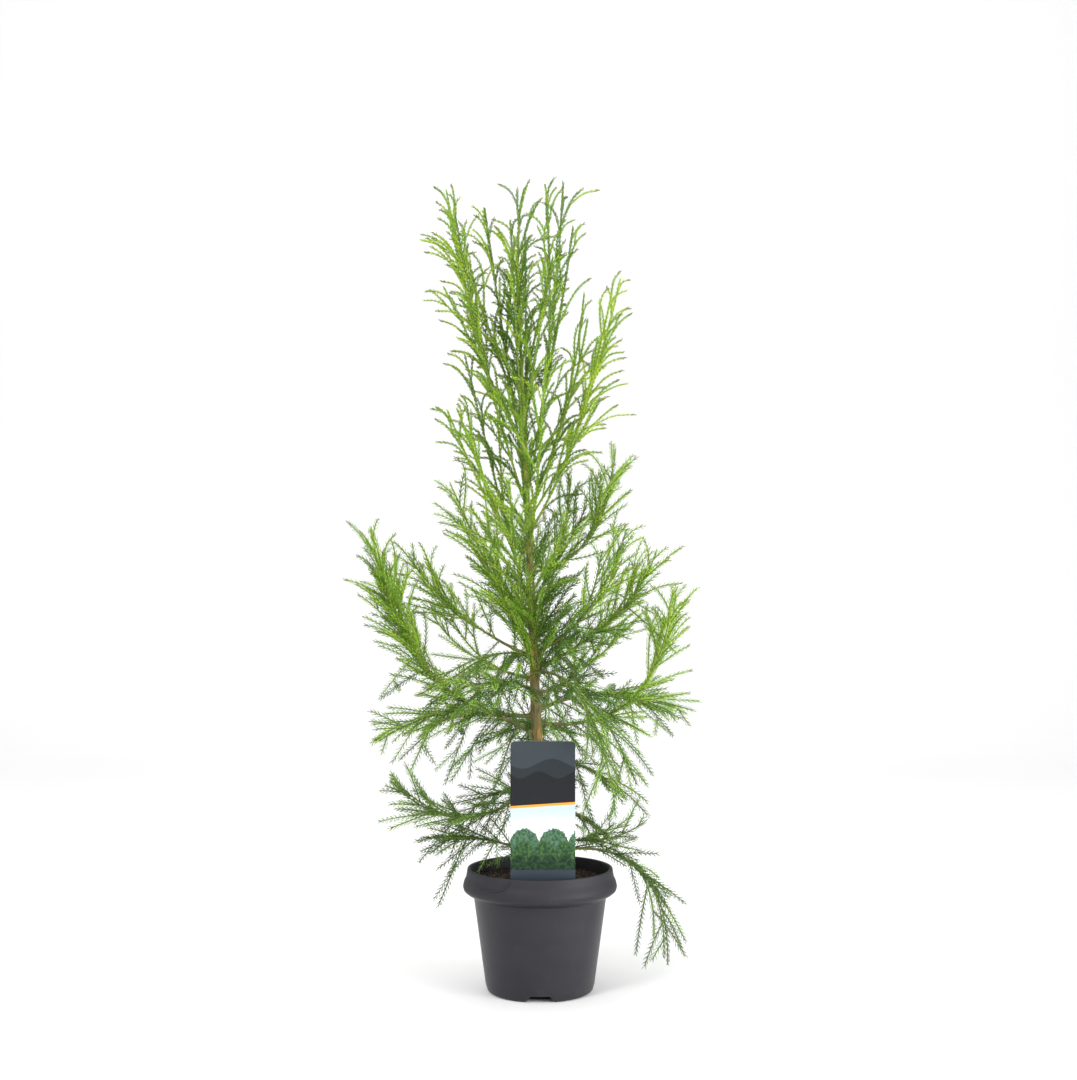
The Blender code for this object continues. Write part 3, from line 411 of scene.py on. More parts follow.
class Finish:
    """A Principled material. Nodes are made by node(); value() gives a node's first output as a Value."""

    def __init__(self, name, roughness):
        self.material = bpy.data.materials.new(name)
        self.material.use_nodes = True
        self.nodes = self.material.node_tree.nodes
        self.links = self.material.node_tree.links
        self.shader = self.nodes["Principled BSDF"]
        self.shader.inputs["Roughness"].default_value = roughness

    def put(self, socket, given):
        given = given.socket if isinstance(given, Value) else given
        if isinstance(given, bpy.types.NodeSocket):
            self.links.new(given, socket)
        else:
            socket.default_value = (*given, 1.0) if socket.type == "RGBA" and len(given) == 3 else given

    def node(self, kind, settings, sockets):
        """A node with its settings made first, a ramp's stops among them, and then its sockets."""
        made = self.nodes.new(kind)
        for name, given in settings.items():
            if name == "stops":
                ramp = made.color_ramp.elements
                while len(ramp) < len(given):
                    ramp.new(1.0)
                for element, (position, colour) in zip(ramp, given):
                    element.position = position
                    element.color = (*colour, 1.0)
            else:
                setattr(made, name, given)
        for name, given in sockets.items():
            self.put(made.inputs[name], given)
        return made

    def value(self, kind, settings, sockets):
        return Value(self, self.node(kind, settings, sockets).outputs[0])

    def place(self, scale=(1.0, 1.0, 1.0)):
        """Object coordinates, scaled."""
        coordinates = self.node("ShaderNodeTexCoord", {}, {}).outputs["Object"]
        return self.node("ShaderNodeMapping", {}, {"Vector": coordinates, "Scale": scale}).outputs[0]

    def axes(self):
        """x, y and z of the Object coordinates."""
        split = self.node("ShaderNodeSeparateXYZ", {}, {"Vector": self.place()})
        return [Value(self, output) for output in split.outputs]

    def noise(self, scale, detail=3.0, stretch=(1.0, 1.0, 1.0)):
        sockets = {"Vector": self.place(stretch), "Scale": scale, "Detail": detail}
        return self.value("ShaderNodeTexNoise", {}, sockets)

    def mix(self, share, first, second):
        """The colour first where share is 0 and second where it is 1."""
        settings = {"data_type": "RGBA"}
        made = self.node("ShaderNodeMix", settings, {0: share, 6: first, 7: second})
        return made.outputs[2]

    def ramp(self, value, *stops):
        return self.node("ShaderNodeValToRGB", {"stops": stops}, {0: value}).outputs[0]

    def colour(self, given):
        self.put(self.shader.inputs["Base Color"], given)

    def roughness(self, value):
        self.put(self.shader.inputs["Roughness"], value)

    def bump(self, height, depth):
        """Relief of some metres."""
        made = self.node("ShaderNodeBump", {}, {"Height": height, "Distance": depth, "Strength": 1.0})
        self.put(self.shader.inputs["Normal"], made.outputs[0])


def pot_finish():
    """Moulded anthracite plastic with a fine grain, faint level clouds and thin patches of dust, rougher from
    the collar up."""
    finish = Finish("pot_plastic", 0.45)
    finish.shader.inputs["Specular IOR Level"].default_value = 0.30
    clouds = finish.noise(14.0, 4.0, (1.0, 1.0, 2.5))
    fine_noise = finish.noise(2600.0, 2.0)
    dust = finish.noise(45.0, 6.0).step(0.55, 0.80) * 0.10
    plain = finish.mix(clouds.step(0.3, 0.7), (0.018, 0.017, 0.022), (0.022, 0.021, 0.026))
    finish.colour(finish.mix(dust, plain, (0.10, 0.097, 0.094)))
    collar = finish.axes()[2].step(COLLAR_HEIGHT - 0.008, COLLAR_HEIGHT)
    finish.roughness(0.34 + clouds * 0.10 + dust * 0.6 + collar * 0.20)
    finish.bump(fine_noise, 0.00005)
    return finish.material


def soil_finish():
    """Damp potting soil, dark with some paler grains."""
    finish = Finish("soil_dark", 0.95)
    grains = finish.noise(160.0, 5.0)
    finish.colour(finish.ramp(grains, (0.3, (0.006, 0.004, 0.003)), (0.55, (0.022, 0.013, 0.009)),
                              (0.75, (0.055, 0.030, 0.018))))
    finish.bump(finish.noise(900.0, 4.0), 0.0006)
    return finish.material


def grained_finish(name, roughness, dark, light, scale, detail, relief_scale, depth):
    """Two colours dealt out by a fine noise, with a finer relief of some depth."""
    finish = Finish(name, roughness)
    finish.colour(finish.mix(finish.noise(scale, detail).step(0.35, 0.65), dark, light))
    finish.bump(finish.noise(relief_scale, detail), depth)
    return finish.material


def crumb_finish(name, dark, light):
    return grained_finish(name, 0.9, dark, light, 220.0, 3.0, 1500.0, 0.0003)


def twig_finish(name, dark, light):
    return grained_finish(name, 0.6, dark, light, 300.0, 2.0, 1200.0, 0.0002)


def bark_finish(name, brown, grey, orange, green_from, green_to):
    """Thin bark in upright strips: brown and grey by strips, orange where it has peeled, darker in its
    fissures by painted shade, and green where it is young."""
    finish = Finish(name, 0.8)
    strips = finish.noise(260.0, 5.0, (1.0, 1.0, 0.20))
    peeled = finish.noise(60.0, 3.0, (1.0, 1.0, 0.60)).step(0.52, 0.62)
    painted_fissure_shade = finish.noise(270.0, 6.0, (1.0, 1.0, 0.22)).step(0.68, 0.56)
    height = finish.axes()[2] + (finish.noise(60.0, 2.0) - 0.5) * 0.05
    bark = finish.mix(strips.step(0.35, 0.65), grey, brown)
    bark = finish.mix(peeled * strips.step(0.3, 0.6), bark, orange)
    # painted shade: a darker grey in the bark's fissures
    bark = finish.mix(painted_fissure_shade, tuple(0.42 * part for part in grey), bark)
    young = finish.mix(strips.step(0.4, 0.6), (0.20, 0.25, 0.035), (0.33, 0.36, 0.06))
    finish.colour(finish.mix(height.step(green_from, green_to), bark, young))
    finish.roughness(0.6 + strips * 0.3)
    finish.bump(strips, 0.0004)
    return finish.material


def needle_finish(name, green):
    """One green for a spray, deeper here and paler there: a coarse noise varies its tone and a fine one
    paints highlights and shade among the needles. With the satin of a waxy needle.
    """
    finish = Finish(name, 0.5)
    finish.shader.inputs["Specular IOR Level"].default_value = 0.18
    paler = tuple(min(1.0, part * factor) for part, factor in zip(green, (1.50, 1.28, 1.05)))
    deeper = tuple(part * factor for part, factor in zip(green, (0.55, 0.66, 0.60)))
    clouds = finish.noise(90.0, 2.0)
    fine_noise = finish.noise(420.0, 2.0)
    # partly painted highlights and shade: the fine noise makes the needles paler and deeper in small patches
    finish.colour(finish.mix((clouds * 0.35 + fine_noise * 0.65).step(0.36, 0.62), deeper, paler))
    finish.roughness(0.42 + clouds * 0.16)
    return finish.material


def label_finish():
    """The card's printed face from top to bottom: dark slate with two ranges of hills, an orange line, pale
    sky, three rows of scalloped greens and a slate strip. Hills follow a sine, scallops the square root of a
    sine's size."""
    finish = Finish("label_print", 0.40)
    finish.shader.inputs["Specular IOR Level"].default_value = 0.20
    x, _, z = finish.axes()
    across = (x - LABEL_X) / LABEL_WIDTH
    up = (z - LABEL_BOTTOM) / (LABEL_TOP - LABEL_BOTTOM)

    def hills(level, height, count, shift):
        return level + height * (across * (count * math.tau) + shift).wave()

    def scallops(level, height, count, shift):
        return level + height * (across * (count * math.pi) + shift).wave().size() ** 0.5

    def below(line, soft=0.004):
        return 1.0 - (up - line).step(-soft, soft)

    leaves = finish.noise(260.0, 5.0)
    ragged = (leaves - 0.5) * 0.07
    colour = finish.mix(up.step(0.30, 0.55), (0.74, 0.78, 0.80), (0.46, 0.62, 0.72))
    rows = (
        (scallops(0.27, 0.110, 2.2, 0.4), (0.030, 0.080, 0.046), (0.085, 0.170, 0.090)),
        (scallops(0.20, 0.085, 3.1, 1.3), (0.014, 0.046, 0.018), (0.052, 0.120, 0.034)),
        (scallops(0.13, 0.060, 4.2, 0.2), (0.005, 0.019, 0.009), (0.020, 0.056, 0.020)),
    )
    for line, dark, light in rows:
        colour = finish.mix(below(line + ragged), colour, finish.mix(leaves.step(0.4, 0.62), dark, light))
    colour = finish.mix(below(0.085, 0.002), colour, (0.032, 0.044, 0.058))
    sweep = 0.535 + across * 0.03
    colour = finish.mix(1.0 - below(sweep, 0.002), colour, (0.85, 0.33, 0.04))
    panel = finish.mix(below(hills(0.84, 0.035, 1.1, 0.6)), (0.040, 0.051, 0.059), (0.022, 0.027, 0.032))
    panel = finish.mix(below(hills(0.76, 0.025, 1.7, 2.2)), panel, (0.012, 0.014, 0.016))
    colour = finish.mix(1.0 - below(sweep + 0.018, 0.002), colour, panel)
    finish.colour(colour)
    return finish.material


def label_back_finish():
    """Plain white card."""
    finish = Finish("label_card", 0.35)
    finish.colour(finish.mix(finish.noise(30.0, 2.0), (0.78, 0.79, 0.79), (0.84, 0.85, 0.85)))
    return finish.material


def floor_finish():
    """Matt and pale, a little deeper further back: the paler floor near the pot is painted light that lifts
    the shadows there.
    """
    finish = Finish("pale_floor", 0.9)
    # painted light: the floor is paler near the pot and a little deeper further back
    painted_falloff = finish.axes()[1] + finish.noise(3.0, 2.0) * 0.1
    finish.colour(finish.mix(painted_falloff.step(0.6, 2.2), (0.89, 0.89, 0.89), (0.81, 0.81, 0.81)))
    return finish.material


def mesh_object(name, vertices, quads, triangles, materials, smooth=True):
    """A mesh from whole arrays: corners, four-sided and three-sided faces."""
    quads = np.asarray(quads, dtype=np.int32).reshape(-1, 4)
    triangles = np.asarray(triangles, dtype=np.int32).reshape(-1, 3)
    mesh = bpy.data.meshes.new(name)
    mesh.vertices.add(len(vertices))
    mesh.vertices.foreach_set("co", np.asarray(vertices, dtype=np.float32).ravel())
    corners = np.concatenate([quads.ravel(), triangles.ravel()])
    starts = np.concatenate([4 * np.arange(len(quads)), 4 * len(quads) + 3 * np.arange(len(triangles))])
    mesh.loops.add(len(corners))
    mesh.loops.foreach_set("vertex_index", corners)
    mesh.polygons.add(len(starts))
    mesh.polygons.foreach_set("loop_start", starts.astype(np.int32))
    mesh.polygons.foreach_set("use_smooth", np.full(len(starts), smooth))
    mesh.update(calc_edges=True)
    piece = bpy.data.objects.new(name, mesh)
    bpy.context.scene.collection.objects.link(piece)
    for material in materials:
        mesh.materials.append(material)
    return piece


def mesh_piece(*parts, smooth=True):
    """A piece of the plant as mesh_object makes it, which rides on the body."""
    piece = mesh_object(*parts, smooth=smooth)
    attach(piece, "root")
    return piece


def grid_faces(rows, columns, closed=True):
    """Four-sided faces of a grid of rows, each a ring that closes on itself or an open strip."""
    row = np.arange(rows - 1)[:, None]
    column = np.arange(columns if closed else columns - 1)[None]
    after = (column + 1) % columns
    here = row * columns
    faces = np.stack([here + column, here + after, here + columns + after, here + columns + column], axis=-1)
    return faces.reshape(-1, 4)


def ring_caps(rows, columns, first, last):
    """Three-sided faces that close the first and the last ring of a grid on two pole vertices."""
    column = np.arange(columns)
    after = (column + 1) % columns
    foot = np.stack([np.full(columns, first), after, column], axis=1)
    top = (rows - 1) * columns
    head = np.stack([np.full(columns, last), top + column, top + after], axis=1)
    return np.vstack([foot, head])


def ripples(points, lengths, seed, waves=14):
    """Uneven relief, mostly between -1 and 1: a sum of sine waves of random heading and phase. lengths are
    the typical wavelengths along x, y and z."""
    draw = np.random.default_rng(seed)
    headings = draw.normal(size=(waves, 3)) * (math.tau / np.asarray(lengths, dtype=float))
    phases = draw.uniform(0, math.tau, waves)
    return np.sin(points @ headings.T + phases).sum(axis=-1) / math.sqrt(waves)


def rounded(profile, radius, steps=4):
    """A profile whose corners are replaced by short quadratic arcs, which start radius before each corner, or
    0.45 of a short stretch."""
    profile = np.array(profile)
    points = [profile[0]]
    for before, corner, after in zip(profile, profile[1:], profile[2:]):
        back, on = before - corner, after - corner
        start = corner + back * min(0.45, radius / np.linalg.norm(back))
        end = corner + on * min(0.45, radius / np.linalg.norm(on))
        for share in np.linspace(0.0, 1.0, steps):
            points.append((1 - share) ** 2 * start + 2 * share * (1 - share) * corner + share ** 2 * end)
    points.append(profile[-1])
    return np.array(points)


def filled_in(profile, spacing):
    """The profile with points added so that none of its stretches is longer than spacing."""
    points = [profile[:1]]
    for before, after in zip(profile, profile[1:]):
        count = max(1, math.ceil(np.linalg.norm(after - before) / spacing))
        points.append(before + (after - before) * (np.arange(1, count + 1) / count)[:, None])
    return np.vstack(points)


def turned(profile, turns, relief=None):
    """Vertices, quads and triangles of a profile of (radius, height) turned about z. The profile starts and
    ends on the axis. relief changes the grid of points of the rings in between."""
    angle = np.linspace(0.0, math.tau, turns, endpoint=False)
    rings = profile[1:-1]
    grid = np.empty((len(rings), turns, 3))
    grid[..., 0] = rings[:, :1] * np.cos(angle)
    grid[..., 1] = rings[:, :1] * np.sin(angle)
    grid[..., 2] = rings[:, 1:]
    if relief is not None:
        grid = relief(grid)
    poles = np.array([[0.0, 0.0, grid[0, :, 2].mean()], [0.0, 0.0, grid[-1, :, 2].mean()]])
    vertices = np.vstack([grid.reshape(-1, 3), poles])
    quads = grid_faces(len(rings), turns)[:, ::-1]
    triangles = ring_caps(len(rings), turns, len(vertices) - 2, len(vertices) - 1)[:, ::-1]
    return vertices, quads, triangles


def notched(grid):
    """Lifts the pot's foot in its notches. A point of the foot at height z moves to lift + z (1 - lift /
    span), where the span is NOTCH_SPAN on the outer wall and the channel's height inside the foot's ring, and
    lift rises over the round lobes at a notch's edges to the notch's height. The inside of the pot stays."""
    angle = np.linspace(0.0, math.tau, grid.shape[1], endpoint=False)
    apart = np.full(len(angle), np.inf)
    for index in range(NOTCHES):
        turn = -math.pi / 2 + index * math.tau / NOTCHES
        off = np.abs((angle - turn + math.pi) % math.tau - math.pi) * FOOT_RADIUS
        apart = np.minimum(apart, off)
    share = np.clip((NOTCH_FLAT / 2 + NOTCH_LOBE - apart) / NOTCH_LOBE, 0.0, 1.0)
    lift = NOTCH_HEIGHT * share ** 2 * (3 - 2 * share)
    radius = np.hypot(grid[..., 0], grid[..., 1])
    height = grid[..., 2]
    span = np.where(radius < FOOT_RADIUS - 0.002, CHANNEL_HEIGHT, NOTCH_SPAN)
    inside = (radius < BASE_RADIUS - WALL / 2) & (height > CHANNEL_HEIGHT + 0.001)
    foot = (radius > FOOT_RADIUS - 0.004) & (height < span) & ~inside
    grid[..., 2] = np.where(foot, lift + height * (1 - lift / span), height)
    return grid


def make_pot():
    """The pot's closed profile turned about z: from the middle of its floor up the inside, over the rim and
    the rolled collar, down the outside and along the foot and the channel to the middle of its underside."""
    profile = [
        (0.0, FLOOR_THICKNESS),
        (RING_START, FLOOR_THICKNESS),
        (RING_END, RING_HEIGHT),
        (BASE_RADIUS - WALL, RING_HEIGHT),
        (NECK_RADIUS - WALL, NECK_HEIGHT),
        (MOUTH_RADIUS, MOUTH_FOOT),
        (MOUTH_RADIUS, POT_HEIGHT - 0.0005),
        (RIM_RADIUS + 0.0012, POT_HEIGHT),
        (RIM_RADIUS + 0.0030, POT_HEIGHT - 0.011),
        (COLLAR_RADIUS - 0.0012, COLLAR_HEIGHT + 0.006),
        (COLLAR_RADIUS, COLLAR_HEIGHT),
        (COLLAR_RADIUS - 0.0013, COLLAR_HEIGHT - 0.005),
        (COLLAR_RADIUS - 0.0063, COLLAR_HEIGHT - 0.009),
        (NECK_RADIUS, NECK_HEIGHT),
        (BASE_RADIUS, 0.010),
        (BASE_RADIUS - 0.0022, 0.0025),
        (FOOT_RADIUS, 0.0),
        (FOOT_RADIUS - FOOT_WIDTH, 0.0),
        (FOOT_RADIUS - FOOT_WIDTH, CHANNEL_HEIGHT),
        (CHANNEL_RADIUS + CHANNEL_SLOPE, CHANNEL_HEIGHT),
        (CHANNEL_RADIUS, 0.0),
        (0.0, 0.0),
    ]
    shape = turned(filled_in(rounded(profile, EDGE), POT_SPACING), POT_TURNS, notched)
    pot = mesh_piece("nursery_pot", *shape, [pot_finish()])
    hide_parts("pot")


def make_collar_bead(material):
    """A moulded bead on the collar's front left: a tube that runs along the collar and turns up to its rim.
    Its azimuth follows the way along to the power 0.7 and its height the fifth power."""
    share = np.linspace(0.0, 1.0, 40)
    turn = np.radians(BEAD_START + BEAD_TURN * share ** 0.7)
    height = COLLAR_HEIGHT + BEAD_LEVEL + BEAD_RISE * share ** 5
    # Its middle lies half a millimetre outside the collar's profile, and nears it towards the rim.
    levels = (COLLAR_HEIGHT + 0.006, POT_HEIGHT - 0.011, POT_HEIGHT)
    radius = np.interp(height, levels, (COLLAR_RADIUS - 0.0007, RIM_RADIUS + 0.0035, RIM_RADIUS + 0.0012))
    path = np.stack([radius * np.cos(turn), radius * np.sin(turn), height], axis=1)
    shape = tubes(path[None], np.full((1, len(share)), BEAD_RADIUS), 8)
    bead = mesh_piece("collar_bead", *shape, [material])


def soil_height(radius):
    """The soil sinks towards the wall by the square of the radius."""
    return SOIL_TOP - SOIL_DIP * (radius / MOUTH_RADIUS) ** 2


def soil_relief(grid):
    """Raises and lowers the soil's top by up to a millimetre or two, and leaves its side and underside as
    they are."""
    top = grid[..., 2] > SOIL_TOP - SOIL_DIP - 0.0004
    radius = np.hypot(grid[..., 0], grid[..., 1])
    fade = np.clip((MOUTH_RADIUS - GAP - radius) / 0.003, 0.0, 1.0)
    uneven = 0.6 * ripples(grid, (0.022, 0.022, 1.0), 3) + 0.4 * ripples(grid, (0.007, 0.007, 1.0), 4)
    grid[..., 2] += np.where(top, SOIL_RELIEF * uneven * fade, 0.0)
    return grid


def make_soil():
    """The filling of the pot, a profile turned about z: an uneven top and a plain side and underside."""
    top = [(radius, soil_height(radius)) for radius in np.linspace(0.0, MOUTH_RADIUS - GAP, SOIL_RINGS)]
    side = [
        (MOUTH_RADIUS - GAP, MOUTH_FOOT),
        (NECK_RADIUS - WALL - GAP, NECK_HEIGHT),
        (BASE_RADIUS - WALL - GAP, RING_HEIGHT + GAP),
        (RING_END - GAP, RING_HEIGHT + GAP),
        (RING_START - GAP, FLOOR_THICKNESS + GAP),
        (0.0, FLOOR_THICKNESS + GAP),
    ]
    soil = mesh_piece("potting_soil", *turned(np.array(top + side), SOIL_TURNS, soil_relief), [soil_finish()])
    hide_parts("soil")


def scattered(name, count, sizes, flatness, seed, material):
    """Grains on the soil. Each is a flattened octahedron of random radii, turned at random about a mostly
    upright axis; each edge of its eight faces is shared, so it is closed. It lies at a random place of the
    disc, at about the height of the soil there."""
    draw = np.random.default_rng(seed)
    radius = (MOUTH_RADIUS - 0.004) * np.sqrt(draw.uniform(0, 1, count))
    turn = draw.uniform(0, math.tau, count)
    places = np.stack([radius * np.cos(turn), radius * np.sin(turn), np.zeros(count)], axis=1)
    places[:, 2] = soil_height(radius) + draw.uniform(-0.0005, 0.0012, count)
    size = draw.uniform(*sizes, count)
    corners = np.array([[1, 0, 0], [0, 1, 0], [-1, 0, 0], [0, -1, 0], [0, 0, 1], [0, 0, -1]], dtype=float)
    corners = corners[None] * draw.uniform(0.55, 1.3, (count, 6, 1)) * size[:, None, None]
    corners[..., 2] *= flatness
    axes = draw.normal(size=(count, 3)) * (0.35, 0.35, 1.0)
    axes += np.array([0.0, 0.0, 0.8])
    axes /= np.linalg.norm(axes, axis=1)[:, None]
    angle = draw.uniform(0, math.tau, count)[:, None, None]
    along = np.einsum("nij,nj->ni", corners, axes)[..., None] * axes[:, None]
    crossed = np.cross(axes[:, None], corners)
    corners = corners * np.cos(angle) + crossed * np.sin(angle) + along * (1 - np.cos(angle))
    vertices = (corners + places[:, None]).reshape(-1, 3)
    faces = np.array([[0, 1, 4], [1, 2, 4], [2, 3, 4], [3, 0, 4], [1, 0, 5], [2, 1, 5], [3, 2, 5], [0, 3, 5]])
    triangles = (faces[None] + 6 * np.arange(count)[:, None, None]).reshape(-1, 3)
    grains = mesh_piece(name, vertices, [], triangles, [material], smooth=False)


def make_label():
    """A card on a tongue. Each level is a flat ring of points: half the card's width there times u, which is
    the turn's cosine to the power 0.6 with its sign, and half the thickness times the square root of 1 - u^8,
    so its edges are round. The upper corners are quarter circles."""
    half = LABEL_WIDTH / 2
    corner = LABEL_TOP - LABEL_CORNER
    arc = np.radians(np.linspace(0.0, 88.0, 10))
    levels = [(SOIL_TOP - TONGUE_DEPTH, TONGUE_WIDTH / 2), (LABEL_BOTTOM, TONGUE_WIDTH / 2)]
    levels += [(LABEL_BOTTOM + 0.00005, half - 0.001), (LABEL_BOTTOM + 0.001, half)]
    levels += [(height, half) for height in np.linspace(LABEL_BOTTOM + 0.006, corner - 0.004, 24)]
    levels += [(corner + LABEL_CORNER * math.sin(a), half - LABEL_CORNER * (1 - math.cos(a))) for a in arc]
    levels = np.array(levels)
    turn = np.linspace(0.0, math.tau, 64, endpoint=False)
    u = np.sign(np.cos(turn)) * np.abs(np.cos(turn)) ** 0.6
    edge = np.sign(np.sin(turn)) * np.sqrt(np.clip(1 - u ** 8, 0.0, 1.0))
    grid = np.empty((len(levels), len(turn), 3))
    grid[..., 0] = LABEL_X + levels[:, 1:] * u
    grid[..., 1] = LABEL_Y + LABEL_THICKNESS / 2 * edge
    grid[..., 2] = levels[:, :1]
    poles = [[LABEL_X, LABEL_Y, levels[0, 0]], [LABEL_X, LABEL_Y, levels[-1, 0]]]
    vertices = np.vstack([grid.reshape(-1, 3), poles])
    quads = grid_faces(len(levels), len(turn))
    triangles = ring_caps(len(levels), len(turn), len(vertices) - 2, len(vertices) - 1)
    finishes = [label_finish(), label_back_finish()]
    label = mesh_piece("plant_label_card", vertices, quads, triangles, finishes, smooth=False)
    middles = vertices[quads].mean(axis=1)
    back = (middles[:, 1] > LABEL_Y) | (middles[:, 2] < LABEL_BOTTOM)
    index = np.concatenate([back, np.ones(len(triangles), dtype=bool)]).astype(np.int32)
    label.data.polygons.foreach_set("material_index", index)
    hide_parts("plant_label")


def trunk_share(height):
    """How far up the trunk a height lies, between 0 and 1."""
    return np.clip((height - TRUNK_FOOT) / (TRUNK_TOP - TRUNK_FOOT), 0.0, 1.0)


def trunk_axis(height):
    """The trunk leans to the left by a power of the way up."""
    height = np.asarray(height, dtype=float)
    return np.stack([TRUNK_LEAN * trunk_share(height) ** TRUNK_LEAN_BEND, 0.0 * height, height], axis=-1)


def trunk_radius(height):
    """Taper by a power of the height left, with a flare that fades out above the soil."""
    taper = (TRUNK_FOOT_RADIUS - TRUNK_TIP_RADIUS) * (1 - trunk_share(height)) ** TRUNK_TAPER
    return TRUNK_TIP_RADIUS + taper + FLARE * np.exp(-(height - TRUNK_FOOT) / FLARE_HEIGHT)


def direction(azimuth):
    """The level unit vector at an azimuth in degrees."""
    angle = math.radians(azimuth)
    return np.array([math.cos(angle), math.sin(angle), 0.0])


def limb_path(limb, count):
    """Square out of the trunk for a stub, then a quadratic curve pulled by the elbow to the tip."""
    out = direction(limb.azimuth)
    height = limb.root * CM
    axis = trunk_axis(height)
    root = axis + out * (trunk_radius(height) + GAP)
    start = root + out * STUB
    elbow = axis + out * limb.elbow * limb.reach * CM
    elbow[2] = limb.elbow_height * CM
    tip = axis + out * limb.reach * CM
    tip[2] = limb.tip * CM
    share = np.linspace(0.0, 1.0, count)[:, None]
    curve = (1 - share) ** 2 * start + 2 * share * (1 - share) * elbow + share ** 2 * tip
    return np.vstack([root, curve])


def leader_path(count):
    """Up from the trunk's tip, nodding to the right at the very end."""
    foot = trunk_axis(TRUNK_TOP)
    foot[2] += GAP
    share = np.linspace(0.0, 1.0, count)[:, None]
    rise = UP * (LEADER_TIP - foot[2])
    return foot + share * rise + share ** 5 * np.array([LEADER_NOD, 0.0, 0.0])


def lengths_along(path):
    """The distance along a path at each of its points."""
    steps = np.linalg.norm(np.diff(path, axis=0), axis=1)
    return np.concatenate([[0.0], np.cumsum(steps)])


def read_path(path, distances):
    """Points of a path at distances along it."""
    along = lengths_along(path)
    return np.stack([np.interp(distances, along, path[:, axis]) for axis in range(3)], axis=1)


def part_of_path(path, first, last, count):
    """The stretch of a path between two shares of its length."""
    total = lengths_along(path)[-1]
    return read_path(path, np.linspace(first * total, last * total, count))


def bough_radius(limb):
    """A bough's radius at its root, thicker for a longer reach."""
    return BOUGH_ROOT_RADIUS + BOUGH_RADIUS_PER_REACH * limb.reach * CM


def frames(paths):
    """Unit tangents along many paths at once, and two directions across them, carried along without
    twisting."""
    tangents = np.gradient(paths, axis=1)
    tangents /= np.linalg.norm(tangents, axis=2, keepdims=True)
    first = np.empty_like(tangents)
    across = np.cross(tangents[:, 0], [0.31, 0.17, 0.94])
    first[:, 0] = across / np.linalg.norm(across, axis=1, keepdims=True)
    for ring in range(1, paths.shape[1]):
        tangent = tangents[:, ring]
        carried = first[:, ring - 1] - tangent * (first[:, ring - 1] * tangent).sum(axis=1, keepdims=True)
        first[:, ring] = carried / np.linalg.norm(carried, axis=1, keepdims=True)
    return tangents, first, np.cross(tangents, first)


class Room:
    """Where there is room: points with radii, each owned by a limb, that other limbs keep clear of."""

    def __init__(self):
        self.points = np.empty((0, 3))
        self.radii = np.empty(0)
        self.owners = np.empty(0, dtype=int)

    def take(self, owner, points, radii):
        self.points = np.vstack([self.points, points])
        self.radii = np.concatenate([self.radii, radii])
        self.owners = np.concatenate([self.owners, np.full(len(points), owner)])

    def free(self, owner, points, radius, own_start):
        """How many of the points, from the first, lie clear of the other shoots and of pot and label."""
        apart = np.linalg.norm(points[:, None, :] - self.points[None], axis=2)
        wanted = radius + self.radii + CLEARANCE
        own = self.owners == owner
        clear = (apart > np.where(own, OWN_SHARE * wanted, wanted))
        clear[:own_start, own] = True
        clear = clear.all(axis=1) & in_the_open(points)
        return len(clear) if clear.all() else int(np.argmin(clear))


def in_the_open(points):
    """Whether points lie clear of pot and label and between the lowest and the highest tip."""
    beside = np.hypot(points[..., 0], points[..., 1])
    over_pot = (beside < COLLAR_RADIUS + POT_CLEARANCE) & (points[..., 2] < POT_HEIGHT + POT_CLEARANCE)
    by_label = np.abs(points[..., 0] - LABEL_X) < LABEL_WIDTH / 2 + POT_CLEARANCE
    by_label &= points[..., 1] < LABEL_Y + 2 * POT_CLEARANCE
    by_label &= points[..., 2] < LABEL_TOP + POT_CLEARANCE
    return ~over_pot & ~by_label & (points[..., 2] > LOWEST_TIP) & (points[..., 2] < HIGHEST_TIP)


def shoot_path(foot, heading, length, curl, nod, out):
    """A shoot: straight, curling up or down by the square of the way along, with a tip that nods outwards by
    the fifth power."""
    share = np.linspace(0.0, 1.0, SHOOT_POINTS)[:, None]
    bent = heading * share + UP * curl * share ** 2 + (out - 0.35 * UP) * nod * share ** 5
    return foot + length * bent


def whorl_count(kind, path):
    """How many whorls of the solids stand on a path. The side shoots leave it between them."""
    return max(2, round(lengths_along(path)[-1] / kind.whorl))


def across_limb(tangent):
    """Level across a limb, and the normal of the limb's own level. The last axis of tangent is x, y and z."""
    level = np.cross(tangent, UP)
    level /= np.maximum(np.linalg.norm(level, axis=-1, keepdims=True), 1e-6)
    return level, np.cross(level, tangent)


def side_shoots(kind, stem, out, seed, taken=()):
    """One side shoot between each two whorls: they turn by the golden angle, flattened towards the limb's own
    level."""
    draw = random.Random(seed)
    whorls = whorl_count(kind, stem)
    total = lengths_along(stem)[-1]
    tangents = frames(stem[None])[0][0]
    turn = draw.uniform(0.0, math.tau)
    for node in range(1, whorls):
        share = node / whorls
        foot = read_path(stem, [share * total])[0]
        tangent = tangents[round(share * (len(stem) - 1))]
        level, lift = across_limb(tangent)
        turn += GOLDEN_ANGLE
        around = level * math.cos(turn) + lift * math.sin(turn) * kind.spread
        around /= np.linalg.norm(around)
        angle = math.radians(kind.angle * draw.uniform(0.85, 1.2))
        heading = tangent * math.cos(angle) + around * math.sin(angle)
        length = kind.foot_length + (kind.tip_length - kind.foot_length) * share
        length *= draw.uniform(0.75, 1.2)
        if node not in taken:
            yield shoot_path(foot, heading, length, kind.curl, kind.nod, out)


def fork_node(kind, stem, fork):
    """The gap between two whorls that is nearest to a fork's share of the stem."""
    whorls = whorl_count(kind, stem)
    return min(max(1, round(fork[0] * whorls)), whorls - 1)


